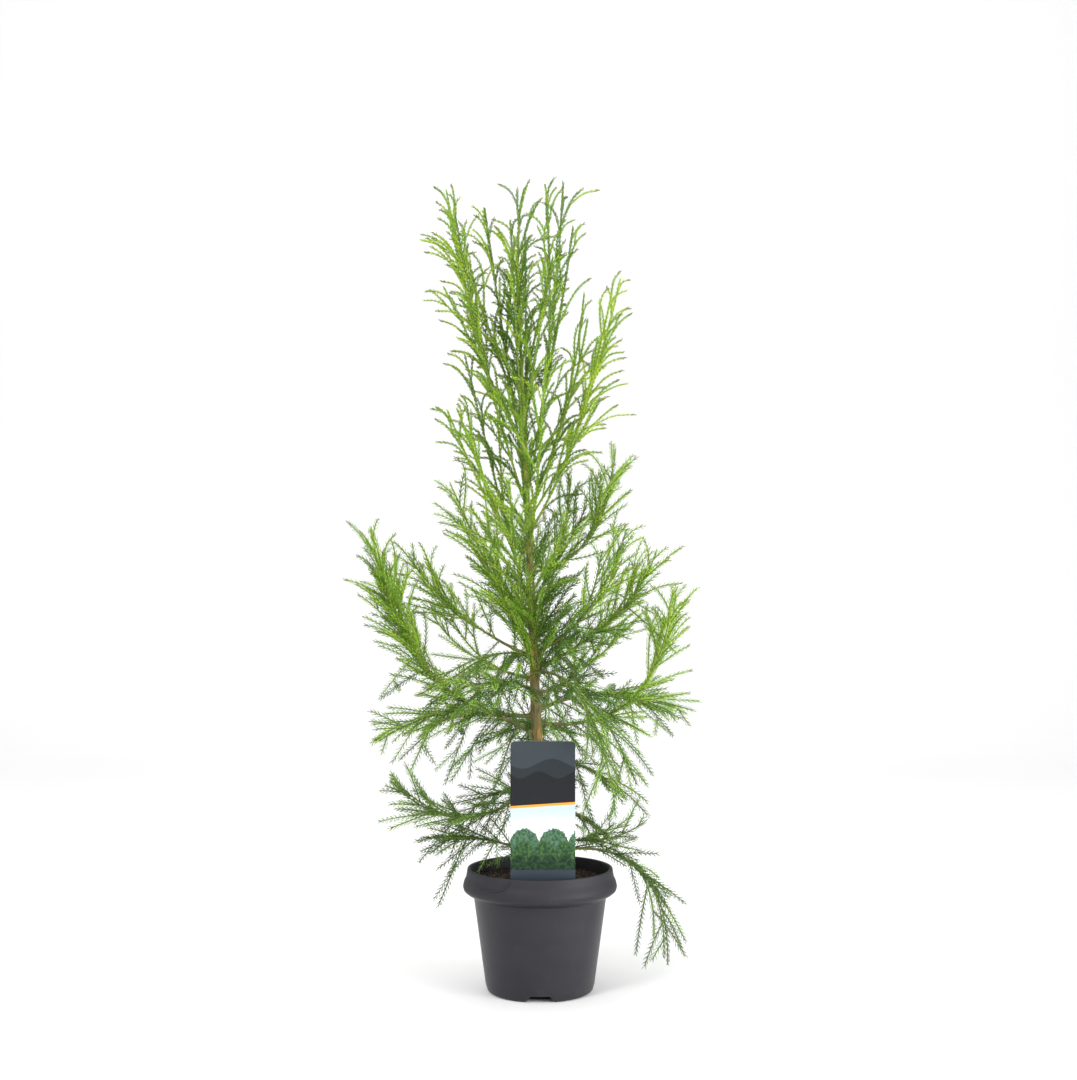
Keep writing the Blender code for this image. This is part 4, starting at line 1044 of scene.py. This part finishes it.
def fork_path(kind, stem, fork):
    """The rest of the stem from a node, turned in the limb's own level and scaled."""
    _, turn, scale = fork
    share = fork_node(kind, stem, fork) / whorl_count(kind, stem)
    rest = part_of_path(stem, share, 1.0, FORK_POINTS)
    tangent = rest[1] - rest[0]
    _, normal = across_limb(tangent / np.linalg.norm(tangent))
    turning = Matrix.Rotation(math.radians(turn), 3, Vector(normal))
    return rest[0] + (rest - rest[0]) @ np.array(turning).T * scale


def fit(room, owner, path, radius, own_start=SHOOT_START):
    """The part of a shoot, from its foot, that has room, or nothing where it would be too short."""
    total = lengths_along(path)[-1]
    points = read_path(path, np.arange(0.0, total, SAMPLE))
    free = room.free(owner, points[FOOT_SAMPLES:], radius, own_start) + FOOT_SAMPLES
    if free < len(points):
        total = (free - 2) * SAMPLE
        if total < SHORTEST_SHOOT:
            return None
        path = read_path(path, np.linspace(0.0, total, len(path)))
        points = read_path(path, np.arange(0.0, total, SAMPLE))
    room.take(owner, points, np.full(len(points), radius))
    return path


def mass_stem(limb, path):
    """The stretch of a limb that carries needles."""
    if not limb.wood:
        return path
    total = lengths_along(path)[-1]
    return part_of_path(path, limb.wood + GAP / total, 1.0, STEM_POINTS)


def grow():
    """The solids' growth again. For each limb: its stem and forks, and its side shoots."""
    room = Room()
    heights = np.arange(TRUNK_FOOT, TRUNK_TOP, SAMPLE)
    room.take(TRUNK, trunk_axis(heights), trunk_radius(heights))
    stems, sides = {}, {}
    for owner, limb in enumerate(LIMBS):
        path = limb_path(limb, LIMB_POINTS)
        if limb.wood:
            wood = part_of_path(path, 0.0, limb.wood, BOUGH_POINTS)
            room.take(owner, wood, np.full(len(wood), bough_radius(limb)))
        stem = mass_stem(limb, path)
        points = read_path(stem, np.arange(0.0, lengths_along(stem)[-1], SAMPLE))
        room.take(owner, points, np.full(len(points), KINDS[limb.kind].needle))
        stems[limb.name] = [stem]
    for owner, limb in enumerate(LIMBS):
        kind = KINDS[limb.kind]
        for fork in limb.forks:
            path = fit(room, owner, fork_path(kind, stems[limb.name][0], fork), kind.needle, FORK_START)
            if path is not None:
                stems[limb.name].append(path)
    for owner, limb in enumerate(LIMBS):
        kind, out = KINDS[limb.kind], direction(limb.azimuth)
        sides[limb.name] = []
        for number, carrier in enumerate(stems[limb.name]):
            taken = [fork_node(kind, carrier, fork) for fork in limb.forks] if number == 0 else ()
            for path in side_shoots(kind, carrier, out, 100 * owner + number, taken):
                path = fit(room, owner, path, kind.needle)
                if path is not None:
                    sides[limb.name].append(path)
    leader = leader_path(LEADER_POINTS)
    stems["leader"], sides["leader"] = [leader], []
    for path in side_shoots(KINDS["plume"], leader, direction(LEADER_SIDE), LEADER_SEED):
        path = fit(room, len(LIMBS), path, KINDS["plume"].needle)
        if path is not None:
            sides["leader"].append(path)
    return stems, sides


def resampled(paths, count):
    """Paths of any number of points as one array, each with count points evenly along it."""
    return np.array([part_of_path(path, 0.0, 1.0, count) for path in paths])


def path_lengths(paths):
    """The length of each of many paths (path, point, axis)."""
    return np.linalg.norm(np.diff(paths, axis=1), axis=2).sum(axis=1)


def at(values, carrier, share):
    """Values of carriers (carrier, point, axis) read at a share of the way along, mixed between points."""
    place = np.clip(share, 0.0, 1.0) * (values.shape[1] - 1)
    low = np.minimum(place.astype(int), values.shape[1] - 2)
    part = (place - low)[:, None]
    return values[carrier, low] * (1 - part) + values[carrier, low + 1] * part


def grow_on(carriers, fine, spacing, lengths, seed, span=FINE_SPAN, count=FINE_POINTS, drop=0.0,
            tapered=True):
    """Finer shoots on many carriers at once, by the rule of side_shoots: at each spacing one shoot, turned on
    by the golden angle, whose tip nods the way it heads. lengths are those at a carrier's foot and tip. drop
    turns the headings down. Tapered shoots don't reach far past their carrier's tip. Shoots that would touch
    the pot, the label or the trunk, leave the box or reach into a gap are left out."""
    draw = np.random.default_rng(seed)
    totals = path_lengths(carriers)
    counts = np.maximum(0, ((span[1] - span[0]) * totals / spacing).astype(int))
    carrier = np.repeat(np.arange(len(carriers)), counts)
    place = np.arange(len(carrier)) - np.repeat(np.cumsum(counts) - counts, counts)
    share = span[0] + (span[1] - span[0]) * (place + draw.uniform(0.3, 0.7, len(place))) / counts[carrier]
    foot = at(carriers, carrier, share)
    tangent = at(frames(carriers)[0], carrier, share)
    level, lift = across_limb(tangent)
    turn = (draw.uniform(0.0, math.tau, len(carriers))[carrier] + place * GOLDEN_ANGLE)[:, None]
    around = level * np.cos(turn) + lift * np.sin(turn) * fine.spread
    around /= np.linalg.norm(around, axis=1, keepdims=True)
    tilt = np.radians(fine.angle * draw.uniform(0.8, 1.25, len(place)))[:, None]
    heading = tangent * np.cos(tilt) + around * np.sin(tilt)
    heading[:, 2] -= drop
    heading /= np.linalg.norm(heading, axis=1, keepdims=True)
    length = lengths[0] + (lengths[1] - lengths[0]) * share
    length = length * draw.uniform(0.7, 1.2, len(place))
    if tapered:
        length = np.minimum(length, 0.012 + 0.9 * (1 - share) * totals[carrier])
    step = np.linspace(0.0, 1.0, count)[None, :, None]
    out = heading * (1.0, 1.0, 0.0)
    out /= np.maximum(np.linalg.norm(out, axis=1, keepdims=True), 1e-6)
    hook = (out - 0.35 * UP)[:, None] * (fine.nod * draw.uniform(0.25, 1.25, (len(place), 1, 1)))
    bent = heading[:, None] * step + UP * fine.curl * step ** 2 + hook * step ** 5
    paths = foot[:, None] + length[:, None, None] * bent
    kept = in_the_open(paths).all(axis=1) & off_the_trunk(paths[:, 2:]) & inside_box(paths) & ~in_a_gap(paths)
    return evened(paths[kept])


def evened(paths):
    """The same paths with their points at equal distances: each new point lies between the two old ones whose
    distances along the path are next to its own."""
    steps = np.linalg.norm(np.diff(paths, axis=1), axis=2)
    along = np.concatenate([np.zeros((len(paths), 1)), np.cumsum(steps, axis=1)], axis=1)
    wanted = along[:, -1:] * np.linspace(0.0, 1.0, paths.shape[1])
    before = np.minimum((along[:, None, :] <= wanted[..., None]).sum(axis=2), paths.shape[1] - 1) - 1
    rows = np.arange(len(paths))[:, None]
    share = (wanted - along[rows, before]) / (along[rows, before + 1] - along[rows, before])
    return paths[rows, before] + (paths[rows, before + 1] - paths[rows, before]) * share[..., None]


def in_a_gap(paths):
    """Whether the outer half of a shoot reaches a place where the crown is open."""
    ends = paths[:, paths.shape[1] // 2:]
    inside = np.zeros(len(paths), dtype=bool)
    for left, right, low, high in GAPS:
        inside |= ((ends[..., 0] > left) & (ends[..., 0] < right) & (ends[..., 2] > low)
                   & (ends[..., 2] < high)).any(axis=1)
    return inside


def off_the_trunk(paths):
    """Whether shoots keep their margin from the trunk wherever they aren't above it."""
    axis = trunk_axis(paths[..., 2])
    apart = np.hypot(paths[..., 0] - axis[..., 0], paths[..., 1] - axis[..., 1])
    return ((apart > trunk_radius(paths[..., 2]) + TRUNK_MARGIN) | (paths[..., 2] > TRUNK_TOP)).all(axis=1)


def inside_box(paths):
    """Whether shoots stay within the solids' box and a small margin."""
    low, high = np.array(CAD_BOX[0]), np.array(CAD_BOX[1])
    return ((paths > low - BOX_MARGIN) & (paths < high + BOX_MARGIN)).all(axis=(1, 2))


def tubes(paths, radii, sides):
    """Round tubes along many paths (path, point, axis) with radii (path, point), each closed on two poles."""
    count, rings = paths.shape[:2]
    _, first, second = frames(paths)
    angle = np.linspace(0.0, math.tau, sides, endpoint=False)
    around = first[:, :, None] * np.cos(angle)[:, None] + second[:, :, None] * np.sin(angle)[:, None]
    grid = paths[:, :, None] + around * radii[:, :, None, None]
    size = rings * sides + 2
    vertices = np.concatenate([grid.reshape(count, -1, 3), paths[:, :1], paths[:, -1:]], axis=1)
    shift = size * np.arange(count)[:, None, None]
    quads = grid_faces(rings, sides)[None] + shift
    triangles = ring_caps(rings, sides, size - 2, size - 1)[None] + shift
    return vertices.reshape(-1, 3), quads.reshape(-1, 4), triangles.reshape(-1, 3)


def joined(shapes):
    """Several shapes of vertices, quads and triangles as one."""
    vertices, quads, triangles, shift = [], [], [], 0
    for points, fours, threes in shapes:
        vertices.append(points)
        quads.append(np.asarray(fours).reshape(-1, 4) + shift)
        triangles.append(np.asarray(threes).reshape(-1, 3) + shift)
        shift += len(points)
    return np.vstack(vertices), np.vstack(quads), np.vstack(triangles)


def needles_along(paths, style, scale, seed):
    """Needles in five rows along many shoots. A needle's middle at share s of its own length lies at
    root + length (T (cos a s + (1 - cos a) s^2 / 2) + N sin a (s - b s^2)),
    where T runs along the shoot, N out of it, a is the opening angle and b how far the needle bends back in.
    One corner is its root, three lie round its middle where it is widest and one is its tip. Returns corners
    (needle, corner, axis), each needle's shoot and its share of the way along that shoot."""
    draw = np.random.default_rng(seed)
    counts = np.maximum(6, (path_lengths(paths) / style.pitch).astype(int))
    shoot = np.repeat(np.arange(len(paths)), counts)
    place = np.arange(len(shoot)) - np.repeat(np.cumsum(counts) - counts, counts)
    share = (place + draw.uniform(0.2, 0.8, len(place))) / counts[shoot]
    tangents, first, second = frames(paths)
    along = at(tangents, shoot, share)
    turn = draw.uniform(0.0, math.tau, len(paths))[shoot] + place * NEEDLE_TURN
    turn = (turn + draw.uniform(-0.15, 0.15, len(place)))[:, None]
    out = at(first, shoot, share) * np.cos(turn) + at(second, shoot, share) * np.sin(turn)
    out -= along * (out * along).sum(axis=1, keepdims=True)
    out /= np.linalg.norm(out, axis=1, keepdims=True)
    side = np.cross(along, out)
    grown = np.clip(0.55 + 3.0 * share, 0.0, 1.0) * (1 - style.fading * np.clip(4 * share - 3.0, 0.0, 1.0))
    length = style.length * scale * grown * draw.uniform(0.85, 1.15, len(place))
    angle = np.radians(style.angle * (1 - 0.45 * share ** 12) * draw.uniform(0.85, 1.15, len(place)))
    cosine, sine = np.cos(angle)[:, None], np.sin(angle)[:, None]
    lean = out * cosine - along * sine
    root = at(paths, shoot, share)

    def centre(s):
        forward = cosine * s + (1 - cosine) * 0.5 * s ** 2
        outward = sine * (s - style.incurve * s ** 2)
        return root + length[:, None] * (along * forward + out * outward)

    middle = centre(style.widest)
    ring = [middle + style.half_width * (side * sideways + lean * outwards)
            for sideways, outwards in NEEDLE_CORNERS]
    corners = [root, *ring, centre(1.0)]
    return np.stack(corners, axis=1), shoot, share


# What has grown so far: tubes of twigs by tier, needles by tier and shade, and the needles of weathered tips.
TWIGS = {tier: [] for tier in GREENS}
SPRAYS = {(tier, shade): [] for tier in GREENS for shade in SHADES}
WEATHERED = []


def shade_of(paths, draw, lightness):
    """A shade for each shoot, by where it ends: lighter further out, partly for the paler young outer growth
    and partly as painted light, lighter by painted light among the brushes on the lit left side, deeper low
    down by painted shade, with chance on top. 0 is light, 1 middle and 2 deep."""
    reach = np.hypot(*(paths[:, -1, :2] - CROWN_CENTRE).T)
    # partly painted light: shoots that end further out from the crown's middle are lighter, those inside
    # deeper
    score = lightness + REACH_GAIN * np.clip(reach / FULL_REACH, 0.0, 1.0)
    score = score + draw.uniform(-CHANCE, CHANCE, len(paths))
    across, height = paths[:, -1, 0], paths[:, -1, 2]
    # painted shade: shoots that end low down are deeper
    score -= LOW_PAINTED_SHADE * np.clip((LOW_END - height) / LOW_DEPTH, 0.0, 1.0)
    # painted light: shoots that end in the box on the lit left side are lighter
    left, right, low, high = PAINTED_LIGHT_BOX
    score += PAINTED_LIGHT_GAIN * ((across > left) & (across < right) & (height > low) & (height < high))
    return np.digitize(-score, [-limit for limit in SHADE_LIMITS])


def dress(kind_name, paths, outfit, seed):
    """Gives shoots their twigs and needles."""
    if not len(paths):
        return
    tier, style = TIER_OF[kind_name], NEEDLES[kind_name]
    draw = np.random.default_rng(seed)
    share = np.linspace(0.0, 1.0, paths.shape[1])
    radii = outfit.foot_radius * (1 - share) + outfit.tip_radius * share
    TWIGS[tier].append(tubes(paths, np.tile(radii, (len(paths), 1)), outfit.sides))
    corners, shoot, along = needles_along(paths, style, outfit.scale, seed + 1)
    shade = shade_of(paths, draw, outfit.lightness)[shoot]
    weathered = (draw.uniform(0, 1, len(paths)) < outfit.weathered)[shoot]
    weathered &= (1 - along) * path_lengths(paths)[shoot] < TIP_REACH
    WEATHERED.append(corners[weathered])
    for number, name in enumerate(SHADES):
        SPRAYS[tier, name].append(corners[(shade == number) & ~weathered])


def dress_limbs(stems, sides):
    """For every kind of foliage its stems, forks and side shoots, fine shoots on stems and forks, and sprigs
    on side shoots and fine shoots."""
    for number, (name, fine) in enumerate(FINE.items()):
        limbs = [limb.name for limb in LIMBS if limb.kind == name] + (["leader"] if name == "plume" else [])
        seed = 1000 * (number + 1)
        carriers = resampled([path for limb in limbs for path in stems[limb]], CARRIER_POINTS)
        main = resampled([path for limb in limbs for path in sides[limb]], SHOOT_POINTS)
        shoots = grow_on(carriers, fine, fine.spacing, (fine.foot_length, fine.tip_length), seed)
        dress(name, carriers, STEM, seed + 10)
        dress(name, main, SIDE_SHOOT, seed + 20)
        dress(name, shoots, FINE_SHOOT, seed + 30)
        lengths = (fine.sprig_length * 1.2, fine.sprig_length * 0.8)
        for order, (bearers, spacing) in enumerate(((main, fine.on_main), (shoots, fine.on_fine))):
            sprigs = grow_on(bearers, fine, spacing, lengths, seed + 40 + order, SPRIG_SPAN, SPRIG_POINTS)
            dress(name, sprigs, SPRIG, seed + 50 + order)


def limb_stretches(limbs, first, last):
    """The same stretch of some limbs as one array of paths."""
    return np.array([part_of_path(limb_path(limb, LIMB_POINTS), first, last, STEM_POINTS) for limb in limbs])


def grow_from(carriers, growth):
    """Shoots on wood, and sprigs on those of them that are long enough."""
    kind, seed = growth.kind, growth.seed
    fine = FINE[kind]._replace(**growth.changes)
    shoots = grow_on(carriers, fine, growth.spacing, growth.lengths, seed, growth.span, WOOD_SHOOT_POINTS,
                     growth.drop, tapered=False)
    dress(kind, shoots, WOOD_SHOOT, seed + 10)
    lengths = (growth.sprig_length * 1.2, growth.sprig_length * 0.7)
    sprigs = grow_on(shoots, FINE[kind], growth.on_shoots, lengths, seed + 20, SPRIG_SPAN, SPRIG_POINTS)
    dress(kind, sprigs, WOOD_SPRIG, seed + 30)


def grow_from_wood():
    """Feathery shoots that hang from the lower limbs and others that clothe their feet, brushes on the middle
    of the trunk and a burst of them where most limbs leave it, upright brushes on the left main limb, and
    plumes on the upper trunk."""
    lower = [limb for limb in LIMBS if limb.wood and limb.root < LOWER_LIMBS_BELOW]
    main = [limb for limb in LIMBS if limb.name == "left_main"]
    woods = {
        "lower limbs": limb_stretches(lower, 0.0, 1.0),
        "column": limb_stretches(main, *COLUMN_SPAN),
        "flank": trunk_axis(np.linspace(*FLANK_SPAN, 40))[None],
        "node": trunk_axis(np.linspace(*NODE_SPAN, 20))[None],
        "crown": trunk_axis(np.linspace(*CROWN_SPAN, 60))[None],
    }
    for growth in WOOD_GROWTHS:
        grow_from(woods[growth.wood], growth)


def wood_shape(path, radii, sides, seed):
    """A tube with bark relief. Its radius is multiplied by 1 + strips + swellings: the strips, thin and along
    the tube, are a half less the size of one sum of ripples, the swellings another sum, each times its
    depth."""
    vertices, quads, triangles = tubes(path[None], radii[None], sides)
    grid = vertices[:-2].reshape(len(path), sides, 3)
    middle = path[:, None]
    angle = np.linspace(0.0, math.tau, sides, endpoint=False)
    along = lengths_along(path)[:, None] * np.ones(sides)
    level = np.ones_like(along)
    round_about = np.stack([np.cos(angle) * level, np.sin(angle) * level, along], axis=2)
    strips = -np.abs(ripples(round_about, STRIPS, seed))
    swell = ripples(round_about, SWELLS, seed + 1)
    factor = 1.0 + STRIP_DEPTH * (strips + 0.5) + SWELL_DEPTH * swell
    grid[:] = middle + (grid - middle) * factor[..., None]
    return vertices, quads, triangles


def make_trunk():
    """The whole trunk: its taper, lean and flare, the bark's relief, and at each limb's root a swelling that
    fades by the square of the distance in an exponential."""
    heights = np.concatenate([np.linspace(TRUNK_FOOT - 0.003, TRUNK_FOOT + 0.03, FOOT_RINGS),
                              np.linspace(TRUNK_FOOT + 0.032, TRUNK_TOP + 0.002, TRUNK_RINGS)])
    path = trunk_axis(heights)
    radii = trunk_radius(np.maximum(heights, TRUNK_FOOT))
    vertices, quads, triangles = wood_shape(path, radii, TRUNK_SIDES, TRUNK_SEED)
    grid = vertices[:-2].reshape(len(path), TRUNK_SIDES, 3)
    outward = grid - path[:, None]
    outward /= np.linalg.norm(outward, axis=2, keepdims=True)
    for limb in LIMBS:
        root = trunk_axis(limb.root * CM) + direction(limb.azimuth) * trunk_radius(limb.root * CM)
        apart = np.linalg.norm(grid - root, axis=2)
        grid += outward * (KNOT_HEIGHT * np.exp(-(apart / KNOT_WIDTH) ** 2))[..., None]
    material = bark_finish("trunk_bark", *TRUNK_BARK)
    trunk = mesh_piece("trunk_with_bark", vertices, quads, triangles, [material])
    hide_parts("trunk")


def make_boughs():
    """Each limb's bough, a tapering tube from inside the trunk past the point where its mass begins, swollen
    at its root."""
    shapes = []
    for number, limb in enumerate(LIMBS):
        path = limb_path(limb, BOUGH_LIMB_POINTS)
        inward = path[0] - direction(limb.azimuth) * BOUGH_INSIDE
        longer = max(limb.wood + BOUGH_BEYOND, SHORTEST_BOUGH)
        end = longer if limb.reach > SHORT_REACH else SHORT_LIMB_BOUGH
        path = np.vstack([inward, part_of_path(path, 0.0, end, BOUGH_RINGS)])
        along = lengths_along(path)
        taper = 1 - BOUGH_TAPER * along / along[-1]
        swelling = 1 + BOUGH_SWELLING * np.exp(-along / SWELLING_LENGTH)
        radii = bough_radius(limb) * taper * swelling
        shapes.append(wood_shape(path, radii, BOUGH_SIDES, BOUGH_SEED + number))
    boughs = mesh_piece("boughs_with_bark", *joined(shapes), [bark_finish("bough_bark", *BOUGH_BARK)])
    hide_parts(*["bough_" + limb.name for limb in LIMBS if limb.wood])


def make_needles(name, sprays, material):
    """All the needles of one colour as a piece."""
    corners = np.concatenate(sprays)
    triangles = NEEDLE_FACES[None] + 5 * np.arange(len(corners))[:, None, None]
    piece = mesh_piece(name, corners.reshape(-1, 3), [], triangles, [material])


def make_foliage():
    """Twigs by tier, each standing for the masses of its tier, needles by tier and shade, and the weathered
    tips."""
    for tier, (dark, light) in TWIG_COLOURS.items():
        masses = ["foliage_" + limb.name for limb in LIMBS if TIER_OF[limb.kind] == tier]
        masses += ["foliage_leader"] if tier == "crown" else []
        twigs = mesh_piece("twigs_" + tier, *joined(TWIGS[tier]), [twig_finish("twig_" + tier, dark, light)])
        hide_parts(*masses)
        for shade, green in zip(SHADES, GREENS[tier]):
            name = f"needles_{tier}_{shade}"
            make_needles(name, SPRAYS[tier, shade], needle_finish(name, green))
    make_needles("needles_weathered_tips", WEATHERED, needle_finish("weathered_tips", TIP_COLOUR))


def make_stage():
    """A pale floor that bends up into a wall behind, soft lights, and the camera at the photo's angle."""
    across = np.linspace(-6.0, 6.0, 3)
    turn = np.linspace(0.0, math.pi / 2, 16)
    side = [(-5.0, 0.0), (0.0, 0.0)]
    side += [(BACKDROP_START + BACKDROP_BEND * math.sin(a), BACKDROP_BEND * (1 - math.cos(a))) for a in turn]
    side += [(BACKDROP_START + BACKDROP_BEND, BACKDROP_TOP)]
    side = np.array(side)
    grid = np.empty((len(side), len(across), 3))
    grid[..., 0] = across
    grid[..., 1:] = side[:, None]
    quads = grid_faces(len(side), len(across), closed=False)
    floor = mesh_object("studio_floor", grid.reshape(-1, 3), quads, [], [floor_finish()])

    world = bpy.data.worlds.new("soft_white")
    world.use_nodes = True
    background = world.node_tree.nodes["Background"]
    background.inputs["Color"].default_value = (1.0, 1.0, 1.0, 1.0)
    background.inputs["Strength"].default_value = SKY_STRENGTH
    bpy.context.scene.world = world
    for name, place, aim, size, power in LIGHTS:
        light = bpy.data.lights.new(name, "AREA")
        light.shape = "DISK"
        light.size = size
        light.energy = power
        lamp = bpy.data.objects.new(name, light)
        lamp.location = place
        lamp.rotation_euler = (Vector(aim) - Vector(place)).to_track_quat("-Z", "Y").to_euler()
        bpy.context.scene.collection.objects.link(lamp)

    camera = bpy.data.cameras.new("camera")
    camera.lens = CAMERA_LENS
    camera.sensor_width = 36.0
    camera.shift_y = CAMERA_SHIFT
    camera.clip_start = 0.05
    eye = bpy.data.objects.new("camera", camera)
    eye.location = CAMERA_PLACE
    eye.rotation_euler = (math.pi / 2, 0.0, 0.0)
    bpy.context.scene.collection.objects.link(eye)
    bpy.context.scene.camera = eye
    bpy.context.scene.view_settings.view_transform = "Standard"


make_stage()
make_pot()
make_collar_bead(bpy.data.materials["pot_plastic"])
make_soil()
scattered("soil_crumbs", *CRUMBS, crumb_finish("soil_crumb", (0.010, 0.006, 0.004), (0.035, 0.020, 0.012)))
scattered("bark_chips", *BARK_CHIPS, crumb_finish("bark_chip", (0.060, 0.025, 0.014), (0.13, 0.055, 0.028)))
make_label()
make_trunk()
make_boughs()
STEMS, SIDES = grow()
dress_limbs(STEMS, SIDES)
grow_from_wood()
make_foliage()
